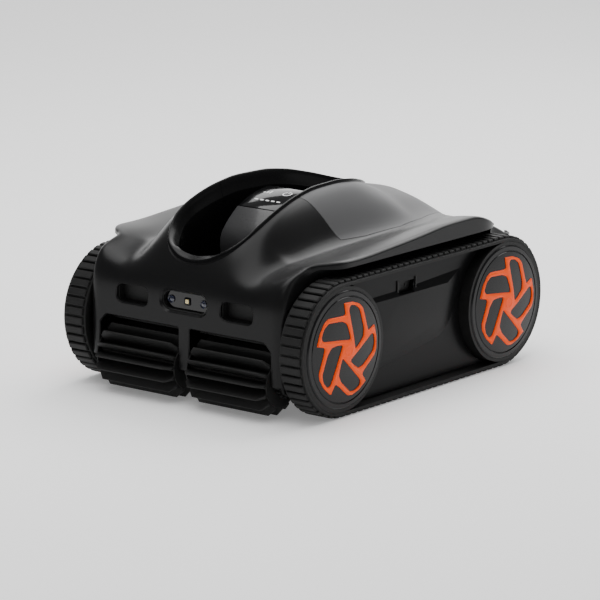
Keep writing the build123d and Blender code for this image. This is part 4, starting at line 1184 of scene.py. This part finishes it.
class POOLCLEANER_OT_finishes(bpy.types.Operator):
    """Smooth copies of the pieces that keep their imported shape, each with its finish"""

    bl_idname = "poolcleaner.finishes"
    bl_label = "Finishes"

    def execute(self, context):
        finishes = finishes_of(context.scene)
        for node in frame["nodes"]:
            kind = kind_of_node(node)
            if kind not in REPLACED:
                finish = finishes[NODE_FINISH.get(kind, "matte")]
                add_piece(f"{node}_skin", packed_copy(node), finish, node)
        return {"FINISHED"}


class POOLCLEANER_OT_hood(bpy.types.Operator):
    """Upper shell and canopy, as detailed pieces"""

    bl_idname = "poolcleaner.hood"
    bl_label = "Upper shell and canopy"

    def execute(self, context):
        add_hood(finishes_of(context.scene))
        return {"FINISHED"}


class POOLCLEANER_OT_rings(bpy.types.Operator):
    """Rims of the opening, as detailed pieces"""

    bl_idname = "poolcleaner.rings"
    bl_label = "Rims of the opening"

    def execute(self, context):
        add_opening_rings(finishes_of(context.scene))
        return {"FINISHED"}


class POOLCLEANER_OT_handle(bpy.types.Operator):
    """Handle and display, as detailed pieces"""

    bl_idname = "poolcleaner.handle"
    bl_label = "Handle and display"

    def execute(self, context):
        add_handle(finishes_of(context.scene))
        return {"FINISHED"}


class POOLCLEANER_OT_tracks(bpy.types.Operator):
    """Tracks, as detailed pieces"""

    bl_idname = "poolcleaner.tracks"
    bl_label = "Tracks"

    def execute(self, context):
        add_tracks(finishes_of(context.scene), context.scene.poolcleaner_pieces.track_lugs)
        return {"FINISHED"}


class POOLCLEANER_OT_wheels(bpy.types.Operator):
    """Wheel covers and stars, as detailed pieces"""

    bl_idname = "poolcleaner.wheels"
    bl_label = "Wheel covers and stars"

    def execute(self, context):
        add_wheels(finishes_of(context.scene))
        return {"FINISHED"}


class POOLCLEANER_OT_brushes(bpy.types.Operator):
    """Brush sleeves, as detailed pieces"""

    bl_idname = "poolcleaner.brushes"
    bl_label = "Brush sleeves"

    def execute(self, context):
        add_brushes(finishes_of(context.scene), context.scene.poolcleaner_pieces.brush_blades)
        return {"FINISHED"}


class POOLCLEANER_OT_side_panels(bpy.types.Operator):
    """Side panels, as detailed pieces"""

    bl_idname = "poolcleaner.side_panels"
    bl_label = "Side panels"

    def execute(self, context):
        add_side_panels(finishes_of(context.scene))
        return {"FINISHED"}


class POOLCLEANER_OT_sensors(bpy.types.Operator):
    """Front sensors, as detailed pieces"""

    bl_idname = "poolcleaner.sensors"
    bl_label = "Front sensors"

    def execute(self, context):
        add_sensors(finishes_of(context.scene))
        return {"FINISHED"}


class POOLCLEANER_PT_panel(bpy.types.Panel):
    """The machine's pieces in the sidebar"""

    bl_idname = "POOLCLEANER_PT_panel"
    bl_label = "Pool Cleaner"
    bl_space_type = "VIEW_3D"
    bl_region_type = "UI"
    bl_category = "Pool Cleaner"

    def draw(self, context):
        for name, kind in SETTINGS.items():
            for setting in kind.__annotations__:
                self.layout.prop(getattr(context.scene, name), setting)
        for operator in OPERATORS:
            self.layout.operator(operator.bl_idname)


SETTINGS = {
    "poolcleaner_stage": StageSettings, "poolcleaner_colours": ColourSettings,
    "poolcleaner_pieces": PieceSettings,
}
OPERATORS = (
    POOLCLEANER_OT_stage, POOLCLEANER_OT_finishes, POOLCLEANER_OT_hood, POOLCLEANER_OT_rings,
    POOLCLEANER_OT_handle, POOLCLEANER_OT_tracks, POOLCLEANER_OT_wheels, POOLCLEANER_OT_brushes,
    POOLCLEANER_OT_side_panels, POOLCLEANER_OT_sensors,
)
CLASSES = (*SETTINGS.values(), *OPERATORS, POOLCLEANER_PT_panel)


def register():
    for kind in CLASSES:
        bpy.utils.register_class(kind)
    for name, kind in SETTINGS.items():
        setattr(bpy.types.Scene, name, bpy.props.PointerProperty(type=kind))


def unregister():
    for name in SETTINGS:
        delattr(bpy.types.Scene, name)
    for kind in reversed(CLASSES):
        bpy.utils.unregister_class(kind)


def main():
    """Make the whole model."""
    register()
    bpy.ops.poolcleaner.stage()
    bpy.ops.poolcleaner.finishes()
    bpy.ops.poolcleaner.hood()
    bpy.ops.poolcleaner.rings()
    bpy.ops.poolcleaner.handle()
    bpy.ops.poolcleaner.tracks()
    bpy.ops.poolcleaner.wheels()
    bpy.ops.poolcleaner.brushes()
    bpy.ops.poolcleaner.side_panels()
    bpy.ops.poolcleaner.sensors()
    bpy.context.view_layer.update()


if __name__ == "__main__":
    main()
